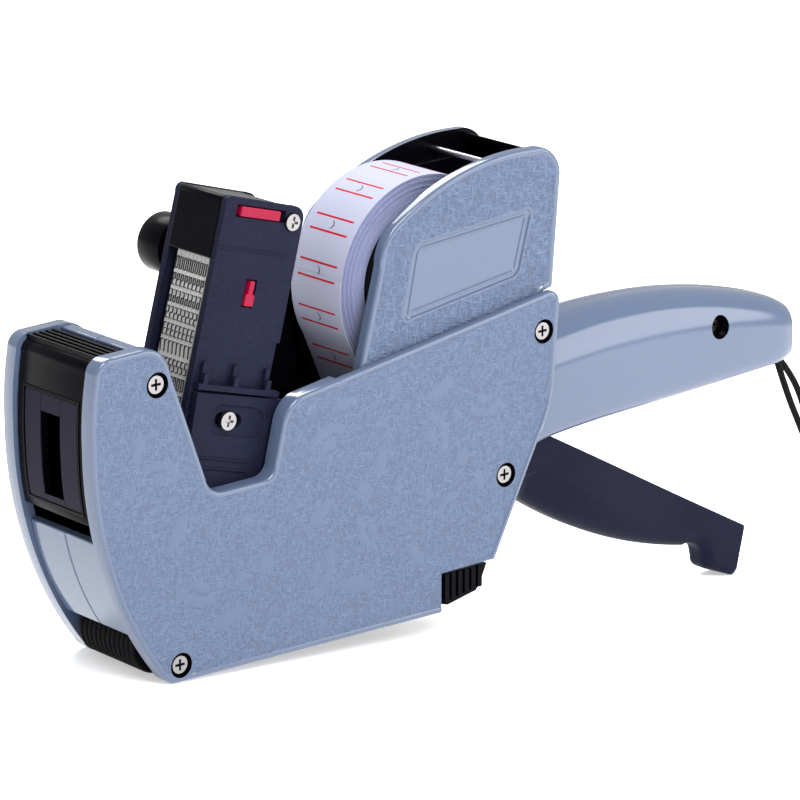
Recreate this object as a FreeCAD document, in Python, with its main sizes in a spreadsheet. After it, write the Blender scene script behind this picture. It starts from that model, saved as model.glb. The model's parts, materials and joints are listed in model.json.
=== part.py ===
import FreeCAD, Part
import Sketcher
import math
import os

# Price labeling gun, eight digit columns, one line. Millimetres.
#
# Every piece is drawn in the gun's side view: x runs from the nose back to the handle, z is up,
# and the flat underside of the body is z = 0. The print head has a side view of its own that leans
# back with it. STAND then sets the whole gun down on its nose and its trigger foot, as it stands
# on a counter, with the origin under the middle of its bounding box.

doc = FreeCAD.newDocument("price_labeling_gun")

# ---------------------------------------------------------------- driving dimensions

DIMENSIONS = [
    ("stand_tilt", 5.07, "angle between the flat underside and the counter, degrees"),
    ("stand_back", -120.79, "gun x of the row origin, negated"),
    ("stand_side", -2.0, "gun y of the row origin, negated"),
    ("stand_lift", -2.156, "height given to the gun after the tilt"),
    ("half_width", 19.5, "centre plane to the outside of a side shell"),
    ("rim_half", 14.9, "centre plane to the inner edge of a shell's rim"),
    ("wall", 2.0, "side wall of a shell"),
    ("insert_half", 14.6, "half width of the pieces that sit between the rims"),
    ("screw_head", 2.35, "radius of a case screw's head"),
    ("screw_recess", 3.1, "radius of the recess round a case screw"),
    ("screw_shank", 1.45, "radius of a case screw's shank"),
    ("shank_hole", 1.5, "radius of the hole a case screw runs in"),
    ("post_radius", 3.4, "radius of a spacer post"),
    ("post_bore", 3.46, "radius of a bore that turns on a spacer post"),
    ("boss_radius", 5.0, "radius of a screw boss inside a shell"),
    ("roller_radius", 8.0, "applicator roller"),
    ("roller_half", 12.0, "half length of the applicator roller"),
    ("axle_radius", 2.0, "applicator and feed axles"),
    ("axle_bore", 2.06, "radius of a bore that turns on such an axle"),
    ("drum_radius", 7.0, "feed drum"),
    ("drum_half", 10.3, "half length of the feed drum"),
    ("roll_radius", 28.0, "full roll of labels"),
    ("core_radius", 19.0, "inside of the roll of labels"),
    ("strip_half", 10.5, "half width of the label strip"),
    ("strip_thick", 0.3, "label and backing strip"),
    ("trigger_half", 8.0, "half width of the trigger"),
    ("hub_half", 10.7, "half length of the lever's hub"),
    ("hub_radius", 7.2, "radius of the lever's hub"),
    ("arm_near", 11.0, "centre plane to the inside of a lever arm"),
    ("arm_thick", 2.4, "thickness of a lever arm"),
    ("head_half", 10.75, "half width of the print head"),
    ("head_wall", 2.0, "thickness of a head plate"),
    ("head_lean", 15.0, "angle the print head leans back, degrees"),
    ("head_x", 40.2, "gun x of the head frame"),
    ("head_z", 74.9, "gun z of the head frame"),
    ("band_pitch", 1.68, "distance from one digit band to the next"),
    ("band_width", 1.5, "width of a digit band"),
    ("wheel_radius", 6.35, "setting wheel that turns a band"),
    ("wheel_bore", 3.06, "bore of a setting wheel"),
    ("shaft_radius", 3.0, "setting shaft"),
    ("knob_radius", 7.9, "setting knob"),
    ("fin_half", 17.15, "centre plane to the outside of the magazine cover"),
    ("fin_wall", 3.0, "side of the magazine cover"),
    ("cheek_near", 11.3, "centre plane to the inside of a roll cheek"),
    ("cheek_wall", 2.5, "thickness of a roll cheek"),
    ("ink_radius", 4.8, "ink roller"),
    ("ink_half", 8.2, "half length of the ink roller"),
    ("adjust_deep", 0.6, "depth of the recess round the adjusting slot"),
    ("pin_hole", 1.5, "radius of the lever pin's hole"),
    ("recess_deep", 2.2, "depth of the recess round a case screw"),
    ("handle_recess", 3.4, "radius of the handle screw's recess"),
    ("handle_recess_deep", 9.0, "depth of the handle screw's recess"),
    ("flap_socket", 1.06, "radius of the flap pin's socket"),
    ("cover_socket", 1.56, "radius of the magazine cover pin's socket"),
    ("lever_room", 9.0, "centre plane to the side of the trigger's slot"),
    ("body_room", 14.0, "centre plane to the side of the handle's root space"),
    ("strap_slot_half", 3.4, "centre plane to the side of the strap's slot"),
    ("strap_pin_hole", 1.36, "radius of the strap pin's hole"),
    ("strap_pin_half", 5.6, "half length of the strap pin"),
    ("cord_radius", 1.0, "wrist strap cord"),
]

dims = doc.addObject("Spreadsheet::Sheet", "dims")
for row, (alias, value, meaning) in enumerate(DIMENSIONS, start=1):
    dims.set("A%d" % row, meaning)
    dims.set("B%d" % row, str(value))
    dims.setAlias("B%d" % row, alias)
doc.recompute()


def dim(alias):
    """The number in the sheet's cell of that name."""
    return float(dims.get(alias))


# ---------------------------------------------------------------- places in the gun's side view

FRONT_SCREW = (20.2, 79.8)
NOSE_SCREW = (26.4, 4.6)
REAR_SCREW = (148.3, 71.7)
LEVER_PIVOT = (135.2, 34.2)
LEVER_PIN = (122.5, 35.5)
HANDLE_SCREW = (221.3, 58.6)
ROLLER_AXIS = (24.6, 8.9)
DRUM_AXIS = (107.0, 15.9)
ROLL_AXIS = (114.2, 90.0)
FLAP_AXIS = (12.6, 86.3)
COVER_AXIS = (146.5, 79.0)
STRAP_PIN = (249.6, 48.6)
SETTING_AXIS = (5.5, 31.0)      # in the head's side view
BAND_COUNT = 8
LEFT, RIGHT = -1, 1             # the knob is on the right, +y

AXIS_Y = FreeCAD.Vector(0, 1, 0)
STAND = FreeCAD.Placement(
    FreeCAD.Vector(dim("stand_back"), dim("stand_side"), dim("stand_lift")),
    FreeCAD.Rotation(AXIS_Y, -dim("stand_tilt")))
HEAD = FreeCAD.Placement(
    FreeCAD.Vector(dim("head_x"), 0, dim("head_z")),
    FreeCAD.Rotation(AXIS_Y, dim("head_lean")))

finished = []


def finish(piece, label, frame=None):
    """Name a sub-part, stand it with the gun and put it on the list to write."""
    local = piece.Placement
    if frame is not None:
        local = frame.multiply(local)
    for path, text in piece.ExpressionEngine:
        if path.endswith("Placement.Base.y"):
            piece.setExpression(path, "(%s) + dims.stand_side" % text)
    piece.Placement = STAND.multiply(local)
    piece.Label = label
    finished.append(piece)
    return piece


# ---------------------------------------------------------------- drawing helpers

def plane(body, role):
    """One of a body's own origin planes."""
    return next(item for item in body.Origin.OriginFeatures if item.Role == role)


def draw(sketch, outline):
    """A closed outline. It starts at its first point; each later entry is a point that a straight
    line goes to, or a pair (point passed, point reached) for an arc."""
    here = FreeCAD.Vector(outline[0][0], outline[0][1], 0)
    first = here
    for entry in outline[1:]:
        if isinstance(entry[0], tuple):
            middle = FreeCAD.Vector(entry[0][0], entry[0][1], 0)
            there = FreeCAD.Vector(entry[1][0], entry[1][1], 0)
            sketch.addGeometry(Part.Arc(here, middle, there), False)
        else:
            there = FreeCAD.Vector(entry[0], entry[1], 0)
            sketch.addGeometry(Part.LineSegment(here, there), False)
        here = there
    if here.distanceToPoint(first) > 1e-6:
        sketch.addGeometry(Part.LineSegment(here, first), False)


def rectangle(x_low, z_low, x_high, z_high):
    """A rectangle's outline."""
    return [(x_low, z_low), (x_high, z_low), (x_high, z_high), (x_low, z_high)]


def obround(x_low, z_low, x_high, z_high):
    """A slot's outline, longer along x, with round ends."""
    r = (z_high - z_low) / 2
    middle = (z_low + z_high) / 2
    return [(x_low + r, z_low), (x_high - r, z_low), ((x_high, middle), (x_high - r, z_high)),
            (x_low + r, z_high), ((x_low, middle), (x_low + r, z_low))]


def side_sketch(body, name, low):
    """A sketch in the side view, on the plane y = low, which is an expression."""
    sketch = body.newObject("Sketcher::SketchObject", name)
    sketch.AttachmentSupport = [(plane(body, "XZ_Plane"), "")]
    sketch.MapMode = "FlatFace"
    sketch.setExpression("AttachmentOffset.Base.z", "-(%s)" % low)
    return sketch


def add_feature(body, kind, name, sketch, thick):
    """Pad or pocket a side-view sketch towards +y by the expression thick."""
    feature = body.newObject("PartDesign::" + kind, name)
    feature.Profile = sketch
    feature.Reversed = kind == "Pad"
    feature.setExpression("Length", thick)
    sketch.Visibility = False
    body.Tip = feature
    return feature


def pad(body, name, outline, low, thick):
    """Add material from y = low to y = low + thick."""
    sketch = side_sketch(body, name + "_sketch", low)
    draw(sketch, outline)
    return add_feature(body, "Pad", name, sketch, thick)


def pocket(body, name, outline, low, thick):
    """Take material away from y = low to y = low + thick, and make sure that some went."""
    doc.recompute()
    before = body.Shape.Volume
    sketch = side_sketch(body, name + "_sketch", low)
    draw(sketch, outline)
    feature = add_feature(body, "Pocket", name, sketch, thick)
    doc.recompute()
    if body.Shape.Volume > before - 0.01:
        raise RuntimeError(name + " cuts nothing")
    return feature


def circle_feature(body, kind, name, centre, radius, low, thick):
    """A round pad or pocket across the gun; the radius is a bound dimension."""
    sketch = side_sketch(body, name + "_sketch", low)
    middle = FreeCAD.Vector(centre[0], centre[1], 0)
    ring = sketch.addGeometry(Part.Circle(middle, FreeCAD.Vector(0, 0, 1), 1.0), False)
    bound = sketch.addConstraint(Sketcher.Constraint("Radius", ring, 1.0))
    sketch.setExpression("Constraints[%d]" % bound, radius)
    return add_feature(body, kind, name, sketch, thick)


def new_body(name):
    """An empty PartDesign body."""
    return doc.addObject("PartDesign::Body", name)


def slab(name, outline, low, thick):
    """A body whose first feature is an outline padded across the gun."""
    body = new_body(name)
    pad(body, name + "_pad", outline, low, thick)
    return body


def rod(name, centre, radius, low, length):
    """A round bar across the gun, as a primitive with bound sizes."""
    bar = doc.addObject("Part::Cylinder", name)
    bar.setExpression("Radius", radius)
    bar.setExpression("Height", length)
    bar.Placement = FreeCAD.Placement(
        FreeCAD.Vector(centre[0], 0, centre[1]), FreeCAD.Rotation(FreeCAD.Vector(1, 0, 0), -90))
    bar.setExpression("Placement.Base.y", low)
    return bar


def cut(name, base, tool):
    """base without tool."""
    result = doc.addObject("Part::Cut", name)
    result.Base = base
    result.Tool = tool
    return result


def fuse(name, pieces):
    """Several pieces as one."""
    result = doc.addObject("Part::MultiFuse", name)
    result.Shapes = pieces
    return result


def group(name, pieces):
    """Several separate solids in one node."""
    result = doc.addObject("Part::Compound", name)
    result.Links = pieces
    return result


def corner(before, point, after):
    """The tangent arc at a point of the route: its two ends, its middle and its radius."""
    first = (before - point)
    second = (after - point)
    reach = 0.45 * min(first.Length, second.Length)
    first.normalize()
    second.normalize()
    half_angle = first.getAngle(second) / 2
    radius = reach * math.tan(half_angle)
    bisector = first + second
    bisector.normalize()
    centre = point + bisector * (radius / math.sin(half_angle))
    return point + first * reach, centre - bisector * radius, point + second * reach, radius


def bent_wire(label, points, radius):
    """A round wire along straight runs joined by tangent arcs; returns it with its bend radii."""
    edges = []
    bends = []
    here = points[0]
    for before, point, after in zip(points, points[1:], points[2:]):
        start, middle, end, bend = corner(before, point, after)
        edges.append(Part.LineSegment(here, start).toShape())
        edges.append(Part.Arc(start, middle, end).toShape())
        bends.append(bend)
        here = end
    edges.append(Part.LineSegment(here, points[-1]).toShape())
    path = Part.Wire(edges)
    section = Part.Wire(Part.makeCircle(radius, points[0], points[1] - points[0]))
    shape = path.makePipeShell([section], True, False)
    expected = math.pi * radius ** 2 * path.Length
    print("%s length %.1f, radii %s, volume %.1f of %.1f" % (
        label, path.Length, " ".join("%.1f" % bend for bend in bends), shape.Volume, expected))
    if abs(shape.Volume / expected - 1) > 0.02:
        raise RuntimeError("%s doesn't have its volume" % label)
    piece = doc.addObject("Part::Feature", label)
    piece.Shape = shape
    piece.Label = label
    return piece


def tube(name, centre, outer, inner, low, length):
    """A round bar with a bore."""
    outside = rod(name + "_outside", centre, outer, low, length)
    inside = rod(name + "_bore", centre, inner, low + " - 1", length + " + 2")
    return cut(name, outside, inside)


# ---------------------------------------------------------------- side shells with the handle

# The front edge, the notch the print head swings in, the sloping top and the tucked rear.
SHELL_OUTLINE = [
    (24.5, 0), ((22.3, 0.9), (20.5, 3.0)), ((5.8, 30.6), (0, 66)), ((0.25, 76), (1.4, 84.5)),
    ((2.9, 87.9), (6.4, 89.0)), (16.5, 89.4), ((21.6, 87.6), (24.3, 82.6)), (35.0, 52.8),
    ((37.0, 49.4), (40.5, 48.1)), (53.5, 48.4), ((56.2, 49.7), (57.4, 52.6)), (60.0, 63.0),
    ((61.9, 66.4), (65.5, 68.7)), (150.5, 82.4), ((152.9, 81.5), (154.0, 79.0)), (152.5, 60.0),
    ((151.1, 50.8), (147.5, 43.0)), (131.3, 10.6), ((126.0, 3.5), (117.0, 0))]
# Inside the rim; it runs out through the top edge where the magazine cover stands in the shell.
SHELL_HOLLOW = [
    (26.0, 2.2), ((9.2, 31.5), (2.8, 64.0)), (4.4, 84.0), (16.5, 86.6), (21.6, 81.0),
    (33.0, 50.0), (40.0, 45.4), (55.0, 45.6), (60.3, 52.0), (62.4, 61.5), (78.0, 68.2),
    (82.0, 90.0), (156.0, 90.0), (156.0, 74.0), (150.6, 72.0), (149.5, 60.0), (145.0, 45.0),
    (128.6, 12.0), (116.5, 2.2)]
# The front wall's lower plate and the short top plate, each half of it on one shell.
FRONT_PLATE = [
    (4.6, 39.8), ((8.4, 26.6), (15.4, 13.0)), (17.5, 14.2), ((10.5, 27.4), (6.8, 40.4))]
TOP_PLATE = [(15.3, 88.7), (18.8, 88.9), (19.0, 86.8), (15.3, 86.6)]
# Handle sections from the body back: x, bottom, top, half width.
HANDLE_SECTIONS = [
    (146.0, 30.0, 67.5, 11.6), (160.0, 36.0, 69.2, 12.0), (176.0, 38.4, 70.9, 12.1),
    (192.0, 38.7, 71.4, 11.9), (208.0, 39.6, 70.6, 11.6), (224.0, 40.3, 68.3, 11.2),
    (238.0, 40.9, 65.0, 10.6), (248.0, 42.0, 61.6, 9.6), (253.0, 45.4, 58.0, 7.4)]
TRIGGER_SLOT = rectangle(135.0, 20.0, 194.0, 56.0)
ROOT_SPACE = rectangle(135.0, 56.0, 151.0, 80.0)
STRAP_SLOT = rectangle(244.6, 36.0, 256.0, 53.0)
LATCH_WINDOW = [(112.9, -1.0), (132.0, -1.0), (133.0, 11.5), (112.9, 11.1)]


def handle_half(body, side):
    """Loft the sections of one half of the handle."""
    sections = []
    for number, (x, bottom, top, half) in enumerate(HANDLE_SECTIONS):
        sketch = body.newObject("Sketcher::SketchObject", "%s_section_%d" % (body.Name, number))
        sketch.AttachmentSupport = [(plane(body, "YZ_Plane"), "")]
        sketch.MapMode = "FlatFace"
        sketch.AttachmentOffset = FreeCAD.Placement(FreeCAD.Vector(0, 0, x), FreeCAD.Rotation())
        middle = (bottom + top) / 2
        tall = (top - bottom) / 2
        shoulder = 0.80
        draw(sketch, [
            (0, bottom), ((side * half * shoulder, middle - tall * shoulder), (side * half, middle)),
            ((side * half * shoulder, middle + tall * shoulder), (0, top))])
        sketch.Visibility = False
        sections.append(sketch)
    loft = body.newObject("PartDesign::AdditiveLoft", body.Name + "_handle")
    loft.Profile = sections[0]
    loft.Sections = sections[1:]
    body.Tip = loft


def side_shell(name, side):
    """One moulded half: side wall and rim, half of the front and top plates, bosses, handle."""
    if side == LEFT:
        outer, inner, seam = "-dims.half_width", "-dims.rim_half", "0"
        plate_low, inside_low = "-dims.rim_half", "-dims.half_width + dims.wall"
    else:
        outer, inner, seam = "dims.half_width", "dims.rim_half", "0"
        plate_low, inside_low = seam, "dims.rim_half"
    body = new_body(name)
    shell_low = outer if side == LEFT else inner
    pad(body, name + "_wall", SHELL_OUTLINE, shell_low, "dims.half_width - dims.rim_half")
    rim_depth = "dims.half_width - dims.rim_half - dims.wall"
    pocket(body, name + "_hollow", SHELL_HOLLOW, inside_low, rim_depth)
    pad(body, name + "_front_plate", FRONT_PLATE, plate_low, "dims.rim_half")
    pad(body, name + "_top_plate", TOP_PLATE, plate_low, "dims.rim_half")
    handle_half(body, side)
    pocket(body, name + "_trigger_slot", TRIGGER_SLOT,
           "-dims.lever_room" if side == LEFT else seam, "dims.lever_room")
    pocket(body, name + "_body_space", ROOT_SPACE,
           "-dims.body_room" if side == LEFT else seam, "dims.body_room")
    bosses = [FRONT_SCREW, NOSE_SCREW, REAR_SCREW, LEVER_PIVOT]
    boss_names = ["front", "nose", "rear", "pivot"]
    for label, centre in zip(boss_names, bosses):
        radius = "dims.screw_recess + 1" if label == "nose" else "dims.boss_radius"
        circle_feature(body, "Pad", "%s_%s_boss" % (name, label), centre, radius,
                       inside_low, rim_depth)
    for label, centre in zip(boss_names, bosses):
        circle_feature(body, "Pocket", "%s_%s_hole" % (name, label), centre, "dims.shank_hole",
                       "-dims.half_width" if side == LEFT else "dims.rim_half - 1",
                       "5" if side == LEFT else "4")
        if side == LEFT:
            circle_feature(body, "Pocket", "%s_%s_recess" % (name, label), centre,
                           "dims.screw_recess", "-dims.half_width", "dims.recess_deep")
    if side == LEFT:
        circle_feature(body, "Pocket", name + "_handle_recess", HANDLE_SCREW,
                       "dims.handle_recess", "-dims.rim_half", "dims.handle_recess_deep")
        circle_feature(body, "Pocket", name + "_handle_hole", HANDLE_SCREW, "dims.shank_hole",
                       "-dims.rim_half", "dims.rim_half")
    else:
        circle_feature(body, "Pocket", name + "_handle_hole", HANDLE_SCREW, "dims.shank_hole",
                       seam, "6")
    pocket(body, name + "_latch_window", LATCH_WINDOW, shell_low,
           "dims.half_width - dims.rim_half")
    socket_low = "-dims.half_width + 1" if side == LEFT else "dims.rim_half - 0.5"
    for label, centre, radius in [
            ("flap", FLAP_AXIS, "dims.flap_socket"), ("cover", COVER_AXIS, "dims.cover_socket")]:
        circle_feature(body, "Pocket", "%s_%s_socket" % (name, label), centre, radius,
                       socket_low, "dims.half_width - dims.rim_half - 0.5")
    pocket(body, name + "_strap_slot", STRAP_SLOT,
           "-dims.strap_slot_half" if side == LEFT else seam, "dims.strap_slot_half")
    circle_feature(body, "Pocket", name + "_strap_hole", STRAP_PIN, "dims.strap_pin_hole",
                   "-dims.strap_pin_half" if side == LEFT else seam, "dims.strap_pin_half")
    finish(body, name)


side_shell("shell_left", LEFT)
side_shell("shell_right", RIGHT)


def cross_screw(name, centre, low, length, head="dims.screw_head"):
    """A screw with its head at y = low and its shank behind it; the drive is a cross recess."""
    top = rod(name + "_head", centre, head, low, "1.5")
    shank = rod(name + "_shank", centre, "dims.screw_shank", low + " + 1.4", length)
    whole = fuse(name + "_blank", [top, shank])
    slots = []
    for number, (wide, tall) in enumerate([(3.0, 0.7), (0.7, 3.0)]):
        slot = doc.addObject("Part::Box", "%s_slot_%d" % (name, number))
        slot.Length, slot.Width, slot.Height = wide, 1.0, tall
        slot.Placement.Base = FreeCAD.Vector(centre[0] - wide / 2, 0, centre[1] - tall / 2)
        slot.setExpression("Placement.Base.y", low + " - 0.3")
        slots.append(slot)
    return cut(name, whole, fuse(name + "_cross", slots))


CASE_SCREWS = [("front", FRONT_SCREW, "16"), ("rear", REAR_SCREW, "16"),
               ("pivot", LEVER_PIVOT, "16"), ("nose", NOSE_SCREW, "5")]
screws = [cross_screw("case_screw_" + label, centre, "-18.8", length)
          for label, centre, length in CASE_SCREWS]
screws.append(cross_screw("case_screw_handle", HANDLE_SCREW, "-7.4", "9"))
finish(group("case_screws", screws), "case_screws")

posts = [tube(label + "_post", centre, "dims.post_radius", "dims.shank_hole",
              "-dims.rim_half", "2 * dims.rim_half")
         for label, centre in [("front", FRONT_SCREW), ("rear", REAR_SCREW),
                               ("pivot", LEVER_PIVOT)]]
finish(group("spacer_posts", posts), "spacer_posts")

# ---------------------------------------------------------------- label path along the bottom

PLATEN_TOP = 8.2
platen = slab("label_platen", [
    (34.5, PLATEN_TOP), (34.0, PLATEN_TOP - 0.8), (36.0, 6.2), (98.0, 6.2), (98.0, PLATEN_TOP)],
    "-12.5", "25")
pad(platen, "platen_left_rail", rectangle(46.0, 6.2, 98.0, 11.0), "-12.5", "1.5")
pad(platen, "platen_right_rail", rectangle(46.0, 6.2, 98.0, 11.0), "11", "1.5")
pad(platen, "platen_left_foot", rectangle(70.0, 6.2, 90.0, 14.0), "-dims.rim_half - 2.4", "5")
pad(platen, "platen_right_foot", rectangle(70.0, 6.2, 90.0, 14.0), "dims.rim_half - 2.6", "5")
finish(platen, "label_platen")

applicator_axle = rod("applicator_axle", ROLLER_AXIS, "dims.axle_radius",
                      "-dims.insert_half - 0.2", "2 * dims.insert_half + 0.4")
feed_axle = rod("feed_axle", DRUM_AXIS, "dims.axle_radius", "-dims.rim_half - 2.4",
                "2 * dims.rim_half + 4.8")
finish(group("roller_axles", [applicator_axle, feed_axle]), "roller_axles")


def ridged_roller(name, centre, radius, bore, half, ridges):
    """A roller with rounded ridges side by side, turned in one revolution."""
    body = new_body(name)
    profile = body.newObject("Sketcher::SketchObject", name + "_profile")
    profile.AttachmentSupport = [(plane(body, "YZ_Plane"), "")]
    profile.MapMode = "FlatFace"
    step = 2 * half / ridges
    valley = radius - 0.5
    outline = [(-half, bore), (-half, valley)]
    for ridge in range(ridges):
        start = -half + ridge * step
        outline.append(((start + step / 2, radius), (start + step, valley)))
    outline.append((half, bore))
    draw(profile, outline)
    turned = body.newObject("PartDesign::Revolution", name + "_turned")
    turned.Profile = profile
    turned.ReferenceAxis = (profile, ["H_Axis"])
    turned.Angle = 360
    profile.Visibility = False
    body.Tip = turned
    body.Placement.Base = FreeCAD.Vector(centre[0], 0, centre[1])
    return body


finish(ridged_roller("applicator_roller", ROLLER_AXIS, dim("roller_radius"), dim("axle_bore"),
                     dim("roller_half"), 12), "applicator_roller")

drum = ridged_roller("feed_drum", DRUM_AXIS, dim("drum_radius"), dim("axle_bore"),
                     dim("drum_half"), 8)
finish(drum, "feed_drum")

# ---------------------------------------------------------------- bottom cover and its latches

cover = slab("bottom_cover", [(34.0, 0), (116.6, 0), (127.6, 3.0), (126.6, 4.4), (116.0, 1.8),
                              (34.0, 1.8)], "-dims.insert_half", "2 * dims.insert_half")
EAR = [(24.5, 3.2), ((24.3, 5.9), (26.4, 7.0)), (34.0, 5.6), (40.0, 1.8), (40.0, 0), (27.0, 0.6)]
pad(cover, "bottom_left_ear", EAR, "-dims.insert_half", "1.8")
pad(cover, "bottom_right_ear", EAR, "dims.insert_half - 1.8", "1.8")
circle_feature(cover, "Pocket", "bottom_hinge", NOSE_SCREW, "1.56", "-dims.insert_half",
               "2 * dims.insert_half")
pad(cover, "bottom_latch_wall", rectangle(118.0, 1.2, 119.6, 10.0), "-9.4", "18.8")
for label, low in [("left", "-dims.insert_half"), ("right", "9.5")]:
    pocket(cover, "bottom_%s_latch_space" % label, rectangle(112.9, -1.0, 133.0, 12.0), low,
           "dims.insert_half - 9.5")
finish(cover, "bottom_cover")

LATCH = [(113.4, 2.2), (115.5, 1.6), (125.4, 3.6), (126.6, 5.0), (129.2, 10.6), (113.4, 10.6)]
RIB_COUNT = 6


def latch(name, side):
    """A ribbed push button that holds the bottom cover shut."""
    low = "-dims.half_width + 0.8" if side == LEFT else "dims.rim_half - 3.2"
    button = slab(name, LATCH, low, "dims.half_width - dims.rim_half + 2.4")
    for rib in range(RIB_COUNT):
        x = 114.0 + rib * 2.3
        foot = 2.6 + rib * 0.42
        rib_low = "-dims.half_width" if side == LEFT else "dims.half_width - 0.85"
        pad(button, "%s_rib_%d" % (name, rib), rectangle(x, foot, x + 1.4, 10.4), rib_low, "0.85")
    finish(button, name)


latch("latch_left", LEFT)
latch("latch_right", RIGHT)

# The bottom cover's far hinge pin and the front flap's pin sit in sockets in the shells.
nose_pin = rod("nose_pin", NOSE_SCREW, "dims.screw_shank", "dims.insert_half - 2", "4")
flap_pin = rod("flap_pin", FLAP_AXIS, "1.0", "-dims.rim_half - 2.4", "2 * dims.rim_half + 4.8")
finish(group("hinge_pins", [nose_pin, flap_pin]), "hinge_pins")

# ---------------------------------------------------------------- trigger, lever arms, spring

TRIGGER = [
    (141.5, 31.0), (159.1, 38.7), (239.0, -4.6), (236.2, -17.0),
    ((235.4, -18.3), (233.4, -18.3)), (226.2, -15.6), ((224.4, -14.4), (223.9, -12.4)),
    (223.2, -9.6), ((221.2, -7.2), (216.0, -6.4)), ((184.0, 3.3), (149.0, 23.4)), (137.0, 27.2)]
lever = slab("trigger_lever", TRIGGER, "-dims.trigger_half", "2 * dims.trigger_half")
circle_feature(lever, "Pad", "lever_hub", LEVER_PIVOT, "dims.hub_radius", "-dims.hub_half",
               "dims.hub_half + 4")
pad(lever, "lever_tongue", [(118.0, 31.0), (135.0, 28.0), (140.0, 40.0), (118.0, 40.0)],
    "-dims.hub_half", "dims.hub_half + 4")
circle_feature(lever, "Pocket", "lever_bore", LEVER_PIVOT, "dims.post_bore", "-15", "30")
circle_feature(lever, "Pocket", "lever_pin_hole", LEVER_PIN, "dims.pin_hole", "-15", "30")
finish(lever, "trigger_lever")

# An arm runs forward from the pivot and ends in the upright bracket that the head bolts to.
ARM = [
    (143.0, 34.2), ((135.2, 42.0), (128.0, 40.5)), (84.0, 57.5), (65.8, 66.2), (37.2, 73.6),
    (33.4, 55.8), (38.4, 44.0), (60.0, 42.2), (84.0, 39.0), (126.0, 28.2),
    ((135.2, 26.4), (143.0, 34.2))]


# The adjusting slot and the recess round it, in the head's side view.
ADJUST_RECESS = obround(3.0, -12.4, 21.0, -4.6)
ADJUST_SLOT = obround(5.2, -10.3, 13.8, -6.7)


def leaning(outline):
    """An outline of the head's side view, in the gun's side view."""
    lean = math.radians(dim("head_lean"))

    def lean_point(v, u):
        return (dim("head_x") + v * math.cos(lean) + u * math.sin(lean),
                dim("head_z") - v * math.sin(lean) + u * math.cos(lean))

    return [tuple(lean_point(*point) for point in entry) if isinstance(entry[0], tuple)
            else lean_point(*entry) for entry in outline]


def lever_arm(name, side):
    """One of the two arms that carry the print head."""
    low = "-dims.arm_near - dims.arm_thick" if side == LEFT else "dims.arm_near"
    arm = slab(name, ARM, low, "dims.arm_thick")
    circle_feature(arm, "Pocket", name + "_bore", LEVER_PIVOT, "dims.post_bore", low,
                   "dims.arm_thick")
    circle_feature(arm, "Pocket", name + "_pin_hole", LEVER_PIN, "dims.pin_hole", low,
                   "dims.arm_thick")
    recess_low = low if side == LEFT else (
        low + " + dims.arm_thick - dims.adjust_deep")
    # the adjusting slot and the recess round it follow the head's lean
    pocket(arm, name + "_recess", leaning(ADJUST_RECESS), recess_low,
           "dims.adjust_deep")
    pocket(arm, name + "_slot", leaning(ADJUST_SLOT), low,
           "dims.arm_thick")
    finish(arm, name)


lever_arm("lever_arm_left", LEFT)
lever_arm("lever_arm_right", RIGHT)
finish(rod("lever_pin", (122.5, 35.5), "1.44", "-dims.arm_near - dims.arm_thick",
           "2 * dims.arm_near + 2 * dims.arm_thick"), "lever_pin")


def coil_spring():
    """Torsion spring on the lever post: close turns of round wire, each of eight runs."""
    turns, runs, pitch = 4, 8, 1.3
    coil, wire, spring_low = 4.6, 0.5, 4.8
    points = []
    for step in range(turns * runs + 1):
        angle = 2 * math.pi * step / runs
        points.append(FreeCAD.Vector(
            coil * math.cos(angle), coil * math.sin(angle), pitch * step / runs))
    piece = bent_wire("return_spring", points, wire)
    piece.Placement = FreeCAD.Placement(
        FreeCAD.Vector(LEVER_PIVOT[0], spring_low, LEVER_PIVOT[1]),
        FreeCAD.Rotation(FreeCAD.Vector(1, 0, 0), -90))
    return piece


finish(coil_spring(), "return_spring")

# ---------------------------------------------------------------- print head (in its own frame)

HEAD_PLATE = [
    (-3.3, -27.0), (-3.3, 45.5), ((-2.9, 47.6), (-0.8, 48.2)), (18.6, 47.9),
    ((21.6, 47.0), (22.6, 44.4)), (22.9, 12.4), (21.9, 12.4), (21.9, -27.0), (12.0, -33.0),
    (0.0, -33.0)]
FLANGE = rectangle(-2.4, -1.3, 24.2, 0.2)
GUSSETS = [-1.2, 8.8, 19.4]
LOCK_SLOT = rectangle(0.4, 43.2, 16.6, 46.4)
KEY_SLOT = rectangle(8.0, 20.6, 11.6, 27.8)


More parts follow.
